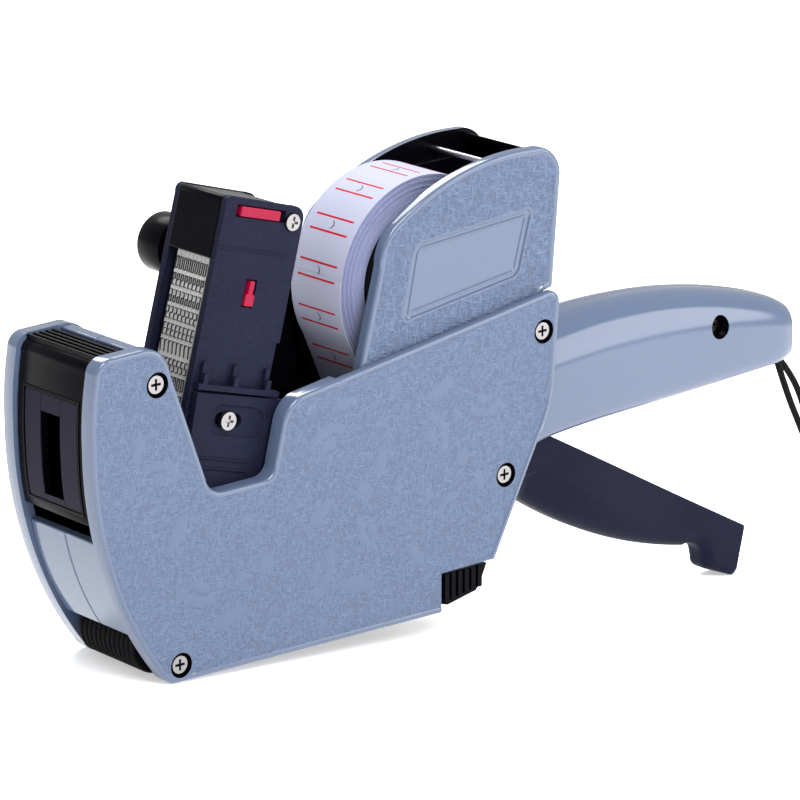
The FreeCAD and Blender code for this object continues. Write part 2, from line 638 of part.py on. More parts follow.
def head_plate(name, side):
    """A side plate of the print head with its ledge and three gusset ribs."""
    low = "-dims.head_half" if side == LEFT else "dims.head_half - dims.head_wall"
    plate = slab(name, HEAD_PLATE, low, "dims.head_wall")
    ledge_low = "-dims.head_half - 2.4" if side == LEFT else "dims.head_half"
    pad(plate, name + "_ledge", FLANGE, ledge_low, "2.4")
    for number, v in enumerate(GUSSETS):
        pad(plate, "%s_gusset_%d" % (name, number), rectangle(v, 0.0, v + 1.5, 5.6),
            "-dims.head_half - 1.2" if side == LEFT else "dims.head_half", "1.2")
        pad(plate, "%s_gusset_foot_%d" % (name, number), rectangle(v, 0.0, v + 1.5, 2.8),
            ledge_low, "2.4")
    if side == LEFT:
        pad(plate, name + "_ridge", rectangle(-3.3, 34.8, 20.0, 35.3), "-dims.head_half - 0.3",
            "0.4")
        pocket(plate, name + "_lock_slot", LOCK_SLOT, low, "dims.head_wall")
        pocket(plate, name + "_key_slot", KEY_SLOT, low, "dims.head_wall")
        circle_feature(plate, "Pocket", name + "_screw_seat", (18.8, 43.8), "2.3", low, "0.6")
    else:
        circle_feature(plate, "Pocket", name + "_shaft_hole", SETTING_AXIS, "5.1", low,
                       "dims.head_wall")
    for number, centre in enumerate([(18.8, 43.8), (8.6, -8.5)]):
        circle_feature(plate, "Pocket", "%s_screw_hole_%d" % (name, number), centre,
                       "dims.shank_hole", low, "dims.head_wall")
    finish(plate, name, HEAD)


head_plate("head_plate_left", LEFT)
head_plate("head_plate_right", RIGHT)

HEAD_CAP = [(-3.6, 31.6), (-3.6, 46.4), ((-3.1, 47.7), (-1.8, 48.0)), (16.0, 47.8), (16.0, 46.6),
            (0.0, 46.6), (-1.6, 45.0), (-2.5, 39.6), (-2.5, 31.6)]
finish(slab("head_cap", HEAD_CAP, "-dims.head_half + dims.head_wall",
            "2 * dims.head_half - 2 * dims.head_wall"), "head_cap", HEAD)

BLOCK = [(15.0, -24.0), (21.0, -24.0), (21.0, 40.0), (15.0, 40.0)]
finish(slab("head_block", BLOCK, "-dims.head_half + dims.head_wall",
            "2 * dims.head_half - 2 * dims.head_wall"), "head_block", HEAD)

# The lock bar slides along its slot; the key is pressed in.
finish(slab("lock_bar", rectangle(1.6, 43.5, 14.6, 46.1), "-dims.head_half - 0.5", "2.4"),
       "lock_bar", HEAD)
RED_KEY = [(8.3, 20.9), (11.3, 20.9), (11.3, 24.0), (10.6, 24.0), (10.6, 27.5), (9.0, 27.5),
           (9.0, 24.0), (8.3, 24.0)]
finish(slab("red_key", RED_KEY, "-dims.head_half - 0.6", "3"), "red_key", HEAD)

head_screw = cross_screw("head_screw_top", (18.8, 43.8), "-dims.head_half - 0.9", "8", "2.2")
adjust_left = cross_screw("adjust_screw_left", (8.6, -8.5),
                          "-dims.arm_near - dims.arm_thick - 0.9", "6", "2.4")
finish(group("head_screws", [head_screw, adjust_left]), "head_screws", HEAD)

# Eight setting wheels side by side on the shaft, each with its band of figures.
BAND_LOOP = [
    (-1.8, 31.0), ((5.5, 38.3), (12.8, 31.0)), (12.8, -18.0), (11.8, -34.0), (9.8, -40.0),
    (3.2, -40.0), (1.2, -34.0), (-1.8, -18.0)]
BAND_HOLLOW = [
    (-1.0, 31.0), ((5.5, 37.5), (12.0, 31.0)), (12.0, -17.9), (11.0, -33.7), (9.2, -39.2),
    (3.8, -39.2), (2.0, -33.7), (-1.0, -17.9)]
ANVIL = [
    (-0.9, 22.6), (11.9, 22.6), (11.9, -17.8), (10.9, -33.6), (9.1, -39.1), (3.9, -39.1),
    (2.1, -33.6), (-0.9, -17.8)]
for column in range(BAND_COUNT):
    left_edge = "(%d - %g) * dims.band_pitch - dims.band_width / 2" % (
        column, (BAND_COUNT - 1) / 2)
    band = slab("band_%d" % (column + 1), BAND_LOOP, left_edge, "dims.band_width")
    pocket(band, "band_inside_%d" % (column + 1), BAND_HOLLOW, left_edge, "dims.band_width")
    finish(band, "digit_band_%d" % (column + 1), HEAD)
    finish(tube("wheel_%d" % (column + 1), SETTING_AXIS, "dims.wheel_radius", "dims.wheel_bore",
                left_edge, "dims.band_width"), "setting_wheel_%d" % (column + 1), HEAD)
finish(slab("type_anvil", ANVIL, "-6.7", "13.4"), "type_anvil", HEAD)

finish(rod("setting_shaft", SETTING_AXIS, "dims.shaft_radius", "-8.2", "24"), "setting_shaft",
       HEAD)
finish(tube("selector_sleeve", SETTING_AXIS, "4.9", "dims.shaft_radius + 0.06", "8.9", "5"),
       "selector_sleeve", HEAD)
grip = rod("knob_grip", SETTING_AXIS, "dims.knob_radius", "14.2", "9.3")
finish(cut("setting_knob", grip, rod("knob_bore", SETTING_AXIS, "dims.shaft_radius", "13", "2.8")),
       "setting_knob", HEAD)

# ---------------------------------------------------------------- ink roller and its arm

INK_AXIS = (30.8, 28.6)
INK_ARM = [
    (16.2, 79.8), ((20.2, 83.9), (24.3, 79.8)), (23.5, 50.0), (33.4, 32.6),
    ((33.6, 26.6), (29.0, 25.4)), (17.5, 48.0)]
ink_arm = slab("ink_arm", INK_ARM, "-10.6", "1.8")
pad(ink_arm, "ink_arm_far", INK_ARM, "8.8", "1.8")
circle_feature(ink_arm, "Pad", "ink_hub", FRONT_SCREW, "4.3", "-10.6", "21.2")
circle_feature(ink_arm, "Pocket", "ink_bore", FRONT_SCREW, "dims.post_bore", "-11", "22")
circle_feature(ink_arm, "Pocket", "ink_axle_hole", INK_AXIS, "1.1", "-11", "22")
finish(ink_arm, "ink_arm")
finish(rod("ink_axle", INK_AXIS, "1.08", "-10.6", "21.2"), "ink_axle")
finish(tube("ink_roller", INK_AXIS, "dims.ink_radius", "1.14", "-dims.ink_half",
            "2 * dims.ink_half"), "ink_roller")

# ---------------------------------------------------------------- front flap

FLAP = [
    (13.6, 88.2), (6.0, 87.7), ((3.6, 86.8), (2.7, 84.5)), ((1.35, 72.0), (1.3, 60.0)),
    ((1.8, 52.0), (3.0, 44.8)), (5.0, 45.1), ((3.6, 54.0), (3.3, 62.0)), ((3.35, 73.0), (4.6, 83.4)),
    (5.6, 85.4), (11.0, 85.8), (10.8, 84.6), ((12.6, 84.0), (14.2, 86.3))]
flap = slab("ink_cover", FLAP, "-dims.insert_half", "2 * dims.insert_half")
RIBS = 5
for rib in range(RIBS):
    x = 4.6 + rib * 1.9
    pad(flap, "thumb_rib_%d" % rib, rectangle(x, 87.0, x + 0.8, 88.8), "-dims.insert_half",
        "2 * dims.insert_half")
pocket(flap, "ink_window", rectangle(-1.0, 49.6, 8.0, 71.6), "-3.9", "8.4")
circle_feature(flap, "Pocket", "flap_bore", FLAP_AXIS, "dims.flap_socket", "-15", "30")
finish(flap, "ink_cover")

# ---------------------------------------------------------------- magazine, roll and strip

FIN = [
    (86.2, 68.0), (94.0, 97.6), ((95.9, 104.4), (100.4, 108.8)), ((120.0, 118.2), (146.4, 121.6)),
    ((152.6, 119.8), (155.9, 113.6)), (153.5, 84.4), (150.5, 84.0), (148.9, 81.2),
    (148.8, 79.0), ((146.5, 76.7), (144.4, 77.8))]


def cover_side(name, side):
    """A side of the magazine cover; it stands inside the shell and carries the name recess."""
    low = "-dims.fin_half" if side == LEFT else "dims.fin_half - dims.fin_wall"
    outside = "-dims.fin_half" if side == LEFT else "dims.fin_half - 0.5"
    fin = slab(name, FIN, low, "dims.fin_wall")
    pocket(fin, name + "_plate_recess", [
        (102.0, 83.6), ((102.6, 82.0), (104.6, 82.2)), (138.0, 87.3), ((141.0, 88.4), (142.2, 91.0)),
        (145.4, 103.0), ((145.3, 105.2), (143.2, 105.2)), (109.4, 102.2),
        ((106.6, 101.3), (105.2, 98.8))], outside, "0.5")
    circle_feature(fin, "Pocket", name + "_bore", COVER_AXIS, "dims.cover_socket", low, "dims.fin_wall")
    finish(fin, name)


cover_side("cover_side_left", LEFT)
cover_side("cover_side_right", RIGHT)
SPINE = [(151.0, 88.0), (153.9, 88.0), (155.6, 113.4), ((154.2, 117.0), (151.0, 119.4)),
         (148.0, 120.6), (148.0, 118.6), ((152.0, 116.4), (153.2, 112.0))]
finish(slab("cover_spine", SPINE, "-dims.fin_half + dims.fin_wall",
            "2 * dims.fin_half - 2 * dims.fin_wall"), "cover_spine")
cover_rod = rod("cover_rod", (137.4, 117.6), "0.8", "-dims.fin_half + dims.fin_wall",
                "2 * dims.fin_half - 2 * dims.fin_wall")
cover_pin = rod("cover_pin", COVER_AXIS, "1.5", "-dims.half_width + 1.1",
                "2 * dims.half_width - 2.2")
finish(group("cover_rods", [cover_rod, cover_pin]), "cover_rods")

CHEEK = [
    (89.6, 70.0), (96.4, 96.6), ((98.2, 102.0), (102.8, 105.8)), ((118.0, 112.8), (132.0, 115.0)),
    (146.6, 115.4), (146.6, 92.0), (142.5, 88.0), (140.5, 76.0), (139.0, 60.0), (96.0, 60.0)]


def roll_cheek(name, side):
    """A black inner cheek that the roll of labels turns between."""
    low = "-dims.cheek_near - dims.cheek_wall" if side == LEFT else "dims.cheek_near"
    cheek = slab(name, CHEEK, low, "dims.cheek_wall")
    circle_feature(cheek, "Pocket", name + "_bore", ROLL_AXIS, "4.05", low, "dims.cheek_wall")
    foot_low = "-dims.half_width + dims.wall" if side == LEFT else (
        "dims.cheek_near + dims.cheek_wall")
    foot = "dims.half_width - dims.wall - dims.cheek_near - dims.cheek_wall"
    pad(cheek, name + "_foot", rectangle(98.0, 60.0, 132.0, 64.0), foot_low, foot)
    finish(cheek, name)


roll_cheek("roll_cheek_left", LEFT)
roll_cheek("roll_cheek_right", RIGHT)

spindle = rod("spindle_axle", ROLL_AXIS, "4", "-dims.cheek_near - dims.cheek_wall",
              "2 * dims.cheek_near + 2 * dims.cheek_wall")
spindle_drum = rod("spindle_drum", ROLL_AXIS, "dims.core_radius - 1.35", "-dims.strip_half",
                   "2 * dims.strip_half")
finish(fuse("roll_spindle", [spindle, spindle_drum]), "roll_spindle")
finish(tube("roll_core", ROLL_AXIS, "dims.core_radius - 0.01", "dims.core_radius - 1.3",
            "-dims.strip_half", "2 * dims.strip_half"), "roll_core")
finish(tube("label_roll", ROLL_AXIS, "dims.roll_radius", "dims.core_radius",
            "-dims.strip_half", "2 * dims.strip_half"), "label_roll")


def on_circle(centre, radius, degrees):
    """A point on a circle in the side view."""
    turn = math.radians(degrees)
    return (centre[0] + radius * math.cos(turn), centre[1] + radius * math.sin(turn))


def strip_outline(offset):
    """One face of the strip: off the roll, round the feed drum and forward over the platen.
    The face that looks out from the roll lies against the drum and looks up on the platen."""
    roll = dim("roll_radius") + 0.45 + offset
    drum_out = dim("drum_radius") + 0.35 + dim("strip_thick") - offset
    lift = PLATEN_TOP + 0.05 + offset
    return [on_circle(ROLL_AXIS, roll, 196), on_circle(ROLL_AXIS, roll, 204),
            on_circle(ROLL_AXIS, roll, 212), on_circle(DRUM_AXIS, drum_out, 22),
            on_circle(DRUM_AXIS, drum_out, 326), (DRUM_AXIS[0], lift), (35.0 - offset, lift)]


def label_strip():
    """The strip between the roll and the peel edge, as a thin bent sheet."""
    roll_a, roll_b, roll_c, drum_a, drum_b, flat_a, flat_b = strip_outline(0.0)
    half = dim("strip_thick")
    roll_d, roll_e, roll_f, drum_c, drum_d, flat_c, flat_d = strip_outline(half)
    return slab("label_strip", [
        roll_a, (roll_b, roll_c), drum_a, (drum_b, flat_a), flat_b, flat_d, flat_c,
        (drum_d, drum_c), roll_f, (roll_e, roll_d)], "-dims.strip_half", "2 * dims.strip_half")


finish(label_strip(), "label_strip")

# ---------------------------------------------------------------- wrist strap

finish(rod("strap_pin", STRAP_PIN, "1.3", "-5.6", "11.2"), "strap_pin")

# The strap is one loop of limp cord. Its route is given in the row frame, where z = 0 is the
# counter: down from the handle, round on the counter and back up beside itself.
STRAP_ROUTE = [
    (124.6, -3.9, 66.6), (131.6, -3.8, 52.6), (140.4, -4.2, 38.6), (149.4, -5.6, 20.8),
    (161.5, -9.2, 5.2), (182.0, -14.6, 1.1), (203.5, -9.6, 1.1), (213.5, 8.8, 1.1),
    (202.5, 28.4, 1.1), (181.5, 29.8, 1.1), (165.0, 16.2, 1.1), (155.6, 5.2, 13.0),
    (146.8, 1.0, 29.6), (138.8, -0.1, 45.0), (131.6, -0.3, 56.4), (125.2, -0.2, 66.6)]


finished.append(bent_wire(
    "wrist_strap", [FreeCAD.Vector(*place) for place in STRAP_ROUTE], dim("cord_radius")))

# ---------------------------------------------------------------- check and write

doc.recompute()
for item in doc.Objects:
    if "Invalid" in item.State or "Error" in item.State:
        raise RuntimeError("%s did not build: %s" % (item.Label, item.State))
for piece in finished:
    if piece.Shape.isNull() or not piece.Shape.isValid() or piece.Shape.Volume <= 0:
        raise RuntimeError("%s has no sound shape" % piece.Label)

os.makedirs("parts", exist_ok=True)
for piece in finished:
    piece.Shape.exportStep("parts/%s.step" % piece.Label)
print("%d sub-parts written" % len(finished))
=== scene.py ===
import json
import math
import random

import bmesh
import bpy
import numpy as np
from mathutils import Matrix, Vector
from mathutils.geometry import delaunay_2d_cdt


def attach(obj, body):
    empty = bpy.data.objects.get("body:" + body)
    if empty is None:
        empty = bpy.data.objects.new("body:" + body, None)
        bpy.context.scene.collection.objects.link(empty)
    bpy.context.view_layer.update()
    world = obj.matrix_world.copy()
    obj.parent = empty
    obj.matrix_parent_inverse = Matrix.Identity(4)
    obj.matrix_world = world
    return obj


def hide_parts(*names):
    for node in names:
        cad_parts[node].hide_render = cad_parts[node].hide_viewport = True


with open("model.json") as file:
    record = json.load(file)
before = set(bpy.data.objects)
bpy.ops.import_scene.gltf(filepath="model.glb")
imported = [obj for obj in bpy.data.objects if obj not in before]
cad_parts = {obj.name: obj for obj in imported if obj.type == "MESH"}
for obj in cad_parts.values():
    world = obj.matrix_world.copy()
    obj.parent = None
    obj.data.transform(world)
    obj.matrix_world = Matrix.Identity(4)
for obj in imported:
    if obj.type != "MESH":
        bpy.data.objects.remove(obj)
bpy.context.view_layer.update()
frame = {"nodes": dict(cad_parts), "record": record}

random.seed(7)

# ---------------------------------------------------------------- places, in millimetres
# Side view of the gun: x from the nose to the handle, z up, y to the side with the knob.

TILT = math.radians(5.07)
STAND = Vector((-120.79, -2.0, -2.156))
LEAN = math.radians(15.0)
HEAD = (40.2, 74.9)
HALF, RIM_HALF, WALL_IN = 19.5, 14.9, 17.5
FRONT_SCREW, NOSE_SCREW, REAR_SCREW = (20.2, 79.8), (26.4, 4.6), (148.3, 71.7)
LEVER_PIVOT, HANDLE_SCREW = (135.2, 34.2), (221.3, 58.6)
ROLL_AXIS = (114.2, 90.0)
MM = 0.001


def row(x, z, y=0.0):
    """A side-view point, in metres in the row frame."""
    back = x * math.cos(TILT) - z * math.sin(TILT) + STAND.x
    up = x * math.sin(TILT) + z * math.cos(TILT) + STAND.z
    return Vector((back, y + STAND.y, up)) * MM


def head(v, u, y=0.0):
    """A point of the print head's own side view, in metres in the row frame."""
    x = HEAD[0] + v * math.cos(LEAN) + u * math.sin(LEAN)
    z = HEAD[1] - v * math.sin(LEAN) + u * math.cos(LEAN)
    return row(x, z, y)


# ---------------------------------------------------------------- camera first

AZIMUTH, ELEVATION, DISTANCE = math.radians(-39.5), math.radians(16.0), 1200.0
TARGET = Vector((114.49, 0.0, 54.52))
LENS, SENSOR, FARTHEST = 202.5, 36.0, 20.0


def set_camera():
    back = Vector((math.sin(AZIMUTH) * math.cos(ELEVATION),
                   -math.cos(AZIMUTH) * math.cos(ELEVATION), math.sin(ELEVATION)))
    right = Vector((math.cos(AZIMUTH), math.sin(AZIMUTH), 0.0))
    above = back.cross(right)
    place = TARGET + back * DISTANCE
    turn = Matrix.Rotation(-TILT, 3, "Y")
    basis = Matrix((turn @ right, turn @ above, turn @ back)).transposed()
    camera = bpy.data.objects.new("camera", bpy.data.cameras.new("camera"))
    bpy.context.scene.collection.objects.link(camera)
    camera.matrix_world = Matrix.Translation(row(place.x, place.z, place.y)) @ basis.to_4x4()
    camera.data.lens = LENS
    camera.data.sensor_width = SENSOR
    camera.data.clip_end = FARTHEST
    bpy.context.scene.camera = camera


set_camera()


# ---------------------------------------------------------------- materials

def node(tree, kind, **values):
    made = tree.nodes.new(kind)
    for name, value in values.items():
        if name in made.inputs:
            made.inputs[name].default_value = value
        else:
            setattr(made, name, value)
    return made


def surface(name, colour, rough, grain=900.0, bump=0.15, spread=0.12, metal=0.0, coat=0.0,
            weave=None, depth=0.0002, shine=0.5, glow=0.0):
    """A material whose colour, roughness and relief all vary with the grain."""
    made = bpy.data.materials.new(name)
    made.use_nodes = True
    tree = made.node_tree
    shader = tree.nodes["Principled BSDF"]
    shader.inputs["Metallic"].default_value = metal
    shader.inputs["Coat Weight"].default_value = coat
    shader.inputs["Specular IOR Level"].default_value = shine
    shader.inputs["Emission Color"].default_value = (1.0, 1.0, 1.0, 1.0)
    shader.inputs["Emission Strength"].default_value = glow
    shader.inputs["Coat Roughness"].default_value = 0.12
    place = node(tree, "ShaderNodeTexCoord").outputs["Object"]
    broad = node(tree, "ShaderNodeTexNoise", Scale=28.0, Detail=4.0)
    fine = node(tree, "ShaderNodeTexNoise", Scale=grain, Detail=3.0)
    for noise in (broad, fine):
        tree.links.new(place, noise.inputs["Vector"])
    ramp = node(tree, "ShaderNodeValToRGB")
    for stop, position, share in zip(ramp.color_ramp.elements,
                                     (0.46, 0.7) if weave else (0.3, 0.7),
                                     (1 - spread, 1 + spread)):
        stop.position = position
        stop.color = [min(1, c * share) for c in colour] + [1]
    mixed = node(tree, "ShaderNodeMath", operation="MULTIPLY_ADD")
    tree.links.new(fine.outputs["Fac"], mixed.inputs[0])
    mixed.inputs[1].default_value = 0.5
    half = node(tree, "ShaderNodeMath", operation="MULTIPLY")
    tree.links.new(broad.outputs["Fac"], half.inputs[0])
    half.inputs[1].default_value = 0.5
    tree.links.new(half.outputs[0], mixed.inputs[2])
    height = linen(tree, place, weave) if weave else fine.outputs["Fac"]
    tree.links.new(height if weave else mixed.outputs[0], ramp.inputs["Fac"])
    tree.links.new(ramp.outputs["Color"], shader.inputs["Base Color"])
    gloss = node(tree, "ShaderNodeMapRange")
    gloss.inputs["To Min"].default_value = max(0.03, rough * 0.8)
    gloss.inputs["To Max"].default_value = min(1.0, rough * 1.25)
    tree.links.new(mixed.outputs[0], gloss.inputs["Value"])
    tree.links.new(gloss.outputs["Result"], shader.inputs["Roughness"])
    relief = node(tree, "ShaderNodeBump", Strength=bump, Distance=depth)
    tree.links.new(height, relief.inputs["Height"])
    tree.links.new(relief.outputs["Normal"], shader.inputs["Normal"])
    return made


def linen(tree, place, threads):
    """Crossed broken threads, threads of them to the metre."""
    bands = []
    for squash in ((1.0, 1.0, 4.0), (4.0, 1.0, 1.0)):
        mapping = node(tree, "ShaderNodeMapping")
        mapping.inputs["Rotation"].default_value = (0.0, TILT, 0.0)
        mapping.inputs["Scale"].default_value = [threads * s / 4.0 for s in squash]
        tree.links.new(place, mapping.inputs["Vector"])
        thread = node(tree, "ShaderNodeTexNoise", Scale=1.0, Detail=2.0)
        tree.links.new(mapping.outputs["Vector"], thread.inputs["Vector"])
        bands.append(thread.outputs["Fac"])
    top = node(tree, "ShaderNodeMath", operation="MAXIMUM")
    for socket, band in zip(top.inputs, bands):
        tree.links.new(band, socket)
    return top.outputs[0]


BLUE = (0.095, 0.131, 0.214)
LOOKS = {
    "blue_plastic": surface("blue_gloss", [c * 0.86 for c in BLUE], 0.14, 1500, 0.03, 0.03,
                            coat=0.30),
    "linen_blue": surface("blue_linen", BLUE, 0.46, 1500, 1.0, 0.20, weave=2500.0, depth=0.0006,
                          shine=0.35),
    "linen_patch": surface("blue_patch", [c * 0.92 for c in BLUE], 0.36, 1500, 0.4, 0.05,
                           weave=2500.0, shine=0.35),
    "linen_cover": surface("blue_linen_coarse", BLUE, 0.44, 1500, 1.0, 0.24, weave=2200.0,
                           depth=0.0008, shine=0.35),
    "black_gloss": surface("black_gloss", (0.0015, 0.0013, 0.0026), 0.26, 900, 0.04, 0.3,
                           shine=0.05),
    "flap_satin": surface("flap_satin", (0.0096, 0.0080, 0.0190), 0.40, 900, 0.04, 0.2, shine=0.05),
    "head_plastic": surface("head_matte", (0.0094, 0.0103, 0.0244), 0.50, 1300, 0.6, 0.4,
                            shine=0.06),
    "trigger_plastic": surface("trigger_satin", (0.0050, 0.0058, 0.0180), 0.42, 1200, 0.3, 0.25,
                               shine=0.06),
    "red_plastic": surface("red_plastic", (0.26, 0.0015, 0.028), 0.32, 900, 0.08, 0.1, shine=0.2),
    "band_rubber": surface("band_rubber", (0.56, 0.55, 0.54), 0.55, 1100, 0.25, 0.08, shine=0.2),
    "figure_ink": surface("figure_ink", (0.030, 0.030, 0.034), 0.55, 1100, 0.2, 0.3, shine=0.1),
    "roller_rubber": surface("roller_rubber", (0.003, 0.003, 0.004), 0.50, 1200, 0.4, 0.3,
                             shine=0.04),
    "ink_felt": surface("ink_felt", (0.006, 0.005, 0.016), 0.95, 2200, 0.8, 0.4, shine=0.1),
    "label_paper": surface("label_paper", (0.40, 0.41, 0.54), 0.62, 2600, 0.12, 0.03, shine=0.2),
    "paper_edge": surface("paper_edge", (0.22, 0.24, 0.37), 0.75, 3000, 0.3, 0.3, shine=0.1),
    "label_red": surface("label_red", (0.46, 0.004, 0.010), 0.55, 1500, 0.1, 0.1, shine=0.1),
    "core_board": surface("core_board", (0.012, 0.011, 0.014), 0.6, 1500, 0.3, 0.2, shine=0.1),
    "steel": surface("steel", (0.34, 0.34, 0.37), 0.30, 1300, 0.12, 0.1, metal=1.0),
    "screw_nickel": surface("nickel", (0.30, 0.29, 0.29), 0.24, 1300, 0.1, 0.1, metal=1.0),
    "cord_black": surface("cord_black", (0.003, 0.003, 0.004), 0.70, 3000, 0.6, 0.5, shine=0.1),
}


# ---------------------------------------------------------------- outlines
# An entry is a point, or a pair: a point that an arc passes and the point where it ends.

SHELL = [
    (24.5, 0), ((22.3, 0.9), (20.5, 3.0)), ((5.8, 30.6), (0, 66)), ((0.25, 76), (1.4, 84.5)),
    ((2.9, 87.9), (6.4, 89.0)), (16.5, 89.4), ((21.6, 87.6), (24.3, 82.6)), (35.0, 52.8),
    ((37.0, 49.4), (40.5, 48.1)), (53.5, 48.4), ((56.2, 49.7), (57.4, 52.6)), (60.0, 63.0),
    ((61.9, 66.4), (65.5, 68.7)), (150.5, 82.4), ((152.9, 81.5), (154.0, 79.0)), (152.5, 60.0),
    ((151.1, 50.8), (147.5, 43.0)), (131.3, 10.6), ((126.0, 3.5), (117.0, 0))]
SHELL_HOLLOW = [
    (26.0, 2.2), ((9.2, 31.5), (2.8, 64.0)), (4.4, 84.0), (16.5, 86.6), (21.6, 81.0),
    (33.0, 50.0), (40.0, 45.4), (55.0, 45.6), (60.3, 52.0), (62.4, 61.5), (78.0, 68.2),
    (82.0, 90.0), (156.0, 90.0), (156.0, 74.0), (150.6, 72.0), (149.5, 60.0), (145.0, 45.0),
    (128.6, 12.0), (116.5, 2.2)]
LATCH_WINDOW = [(112.9, -1.0), (132.0, -1.0), (133.0, 11.5), (112.9, 11.1)]
FRONT_PLATE = [(4.6, 39.8), ((8.4, 26.6), (15.4, 13.0)), (17.5, 14.2), ((10.5, 27.4), (6.8, 40.4))]
TOP_PLATE = [(15.3, 88.7), (18.8, 88.9), (19.0, 86.8), (15.3, 86.6)]
FIN = [
    (86.2, 68.0), (94.0, 97.6), ((95.9, 104.4), (100.4, 108.8)), ((120.0, 118.2), (146.4, 121.6)),
    ((152.6, 119.8), (155.9, 113.6)), (153.4, 82.7), (150.4, 82.0), (148.9, 81.0),
    (148.8, 79.0), ((146.5, 76.7), (144.4, 77.8))]
NAME_RECESS = [
    (102.0, 83.6), ((102.6, 82.0), (104.6, 82.2)), (138.0, 87.3), ((141.0, 88.4), (142.2, 91.0)),
    (145.4, 103.0), ((145.3, 105.2), (143.2, 105.2)), (109.4, 102.2),
    ((106.6, 101.3), (105.2, 98.8))]
HANDLE_SECTIONS = [
    (146.0, 30.6, 67.5, 11.6), (152.0, 34.6, 68.2, 11.8), (160.0, 37.0, 69.2, 12.0),
    (176.0, 38.5, 70.9, 12.1), (192.0, 39.3, 71.2, 11.9), (208.0, 40.1, 70.3, 11.6),
    (224.0, 41.0, 68.0, 11.2), (238.0, 41.8, 64.8, 10.6), (247.0, 42.4, 62.0, 9.9),
    (252.0, 43.6, 59.6, 8.6)]


def polar(centre, radius, turn):
    return centre[0] + radius * math.cos(turn), centre[1] + radius * math.sin(turn)


def circle(centre, radius, count=36):
    return [polar(centre, radius, 2 * math.pi * i / count) for i in range(count)]


def rectangle(left, low, right, high):
    return [(left, low), (right, low), (right, high), (left, high)]


def arc(start, through, end, step):
    """Points after start on the circle through three points."""
    (ax, az), (bx, bz), (cx, cz) = start, through, end
    d = 2 * (ax * (bz - cz) + bx * (cz - az) + cx * (az - bz))
    a2, b2, c2 = ax * ax + az * az, bx * bx + bz * bz, cx * cx + cz * cz
    ox = (a2 * (bz - cz) + b2 * (cz - az) + c2 * (az - bz)) / d
    oz = (a2 * (cx - bx) + b2 * (ax - cx) + c2 * (bx - ax)) / d
    radius = math.hypot(ax - ox, az - oz)
    first, middle, last = (math.atan2(z - oz, x - ox) for x, z in (start, through, end))
    full = 2 * math.pi
    sweep = (last - first) % full
    if (middle - first) % full > sweep:
        sweep -= full
    count = max(3, int(abs(sweep) * radius / step))
    return [polar((ox, oz), radius, first + sweep * i / count) for i in range(1, count + 1)]


def trace(outline, step=0.8):
    """An outline as a closed run of evenly spaced points."""
    last = outline[-1]
    here = last[1] if isinstance(last[0], tuple) else last
    points = []
    for entry in outline:
        if isinstance(entry[0], tuple):
            points += arc(here, entry[0], entry[1], step)
            here = entry[1]
            continue
        count = max(1, int(math.dist(here, entry) / step))
        points += [(here[0] + (entry[0] - here[0]) * i / count,
                    here[1] + (entry[1] - here[1]) * i / count) for i in range(1, count + 1)]
        here = entry
    return points


def inset(ring, offset):
    """The closed line that runs offset inside another; points that would cross are dropped."""
    ring = np.asarray(ring, float)
    tangent = np.roll(ring, -1, axis=0) - np.roll(ring, 1, axis=0)
    normal = np.stack([-tangent[:, 1], tangent[:, 0]], axis=1)
    normal /= np.linalg.norm(normal, axis=1)[:, None]
    if not inside(ring[:1] + normal[:1] * 0.05, ring)[0]:
        normal = -normal
    near = ring + normal * offset
    return near[(distance(near, ring) > offset * 0.97) & inside(near, ring)]


def inside(points, polygon):
    """Which of the points lie in the polygon."""
    points, ring = np.asarray(points, float), np.asarray(polygon, float)
    after = np.roll(ring, -1, axis=0)
    found = np.zeros(len(points), bool)
    for (ax, az), (bx, bz) in zip(ring, after):
        crosses = (az > points[:, 1]) != (bz > points[:, 1])
        if az != bz:
            found ^= crosses & (points[:, 0] < (bx - ax) * (points[:, 1] - az) / (bz - az) + ax)
    return found


def distance(points, polygon):
    """How far each point is from the polygon's line."""
    points, ring = np.asarray(points, float), np.asarray(polygon, float)
    after = np.roll(ring, -1, axis=0)
    best = np.full(len(points), 1e9)
    for a, b in zip(ring, after):
        run = b - a
        along = np.clip(((points - a) @ run) / max(run @ run, 1e-12), 0, 1)
        best = np.minimum(best, np.linalg.norm(points - a - along[:, None] * run, axis=1))
    return best


def reach_from(centre, points):
    """How far each point is from a centre."""
    return np.hypot(points[:, 0] - centre[0], points[:, 1] - centre[1])


# ---------------------------------------------------------------- making meshes

SHARP = math.radians(35)


def add_object(name, vertices, faces, looks, index=None, smooth=True):
    mesh = bpy.data.meshes.new(name)
    mesh.from_pydata([tuple(v) for v in vertices], [], faces)
    for look in looks:
        mesh.materials.append(LOOKS[look])
    if index is not None:
        mesh.polygons.foreach_set("material_index", index)
    tidy = bmesh.new()
    tidy.from_mesh(mesh)
    bmesh.ops.recalc_face_normals(tidy, faces=tidy.faces)
    tidy.to_mesh(mesh)
    tidy.free()
    made = bpy.data.objects.new(name, mesh)
    bpy.context.scene.collection.objects.link(made)
    if smooth:
        mesh.shade_smooth()
        mesh.set_sharp_from_angle(angle=SHARP)
    return made


def fit(made, body, cad_node=None):
    """Put a piece on its body, in place of a CAD node if one is named."""
    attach(made, body)
    if cad_node:
        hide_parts(cad_node)


def box_faces(start):
    """The faces of a box whose eight corners, one side and then the other, begin at start."""
    sides = [[start + i, start + (i + 1) % 4, start + 4 + (i + 1) % 4, start + 4 + i]
             for i in range(4)]
    return [[start, start + 1, start + 2, start + 3],
            [start + 7, start + 6, start + 5, start + 4]] + sides


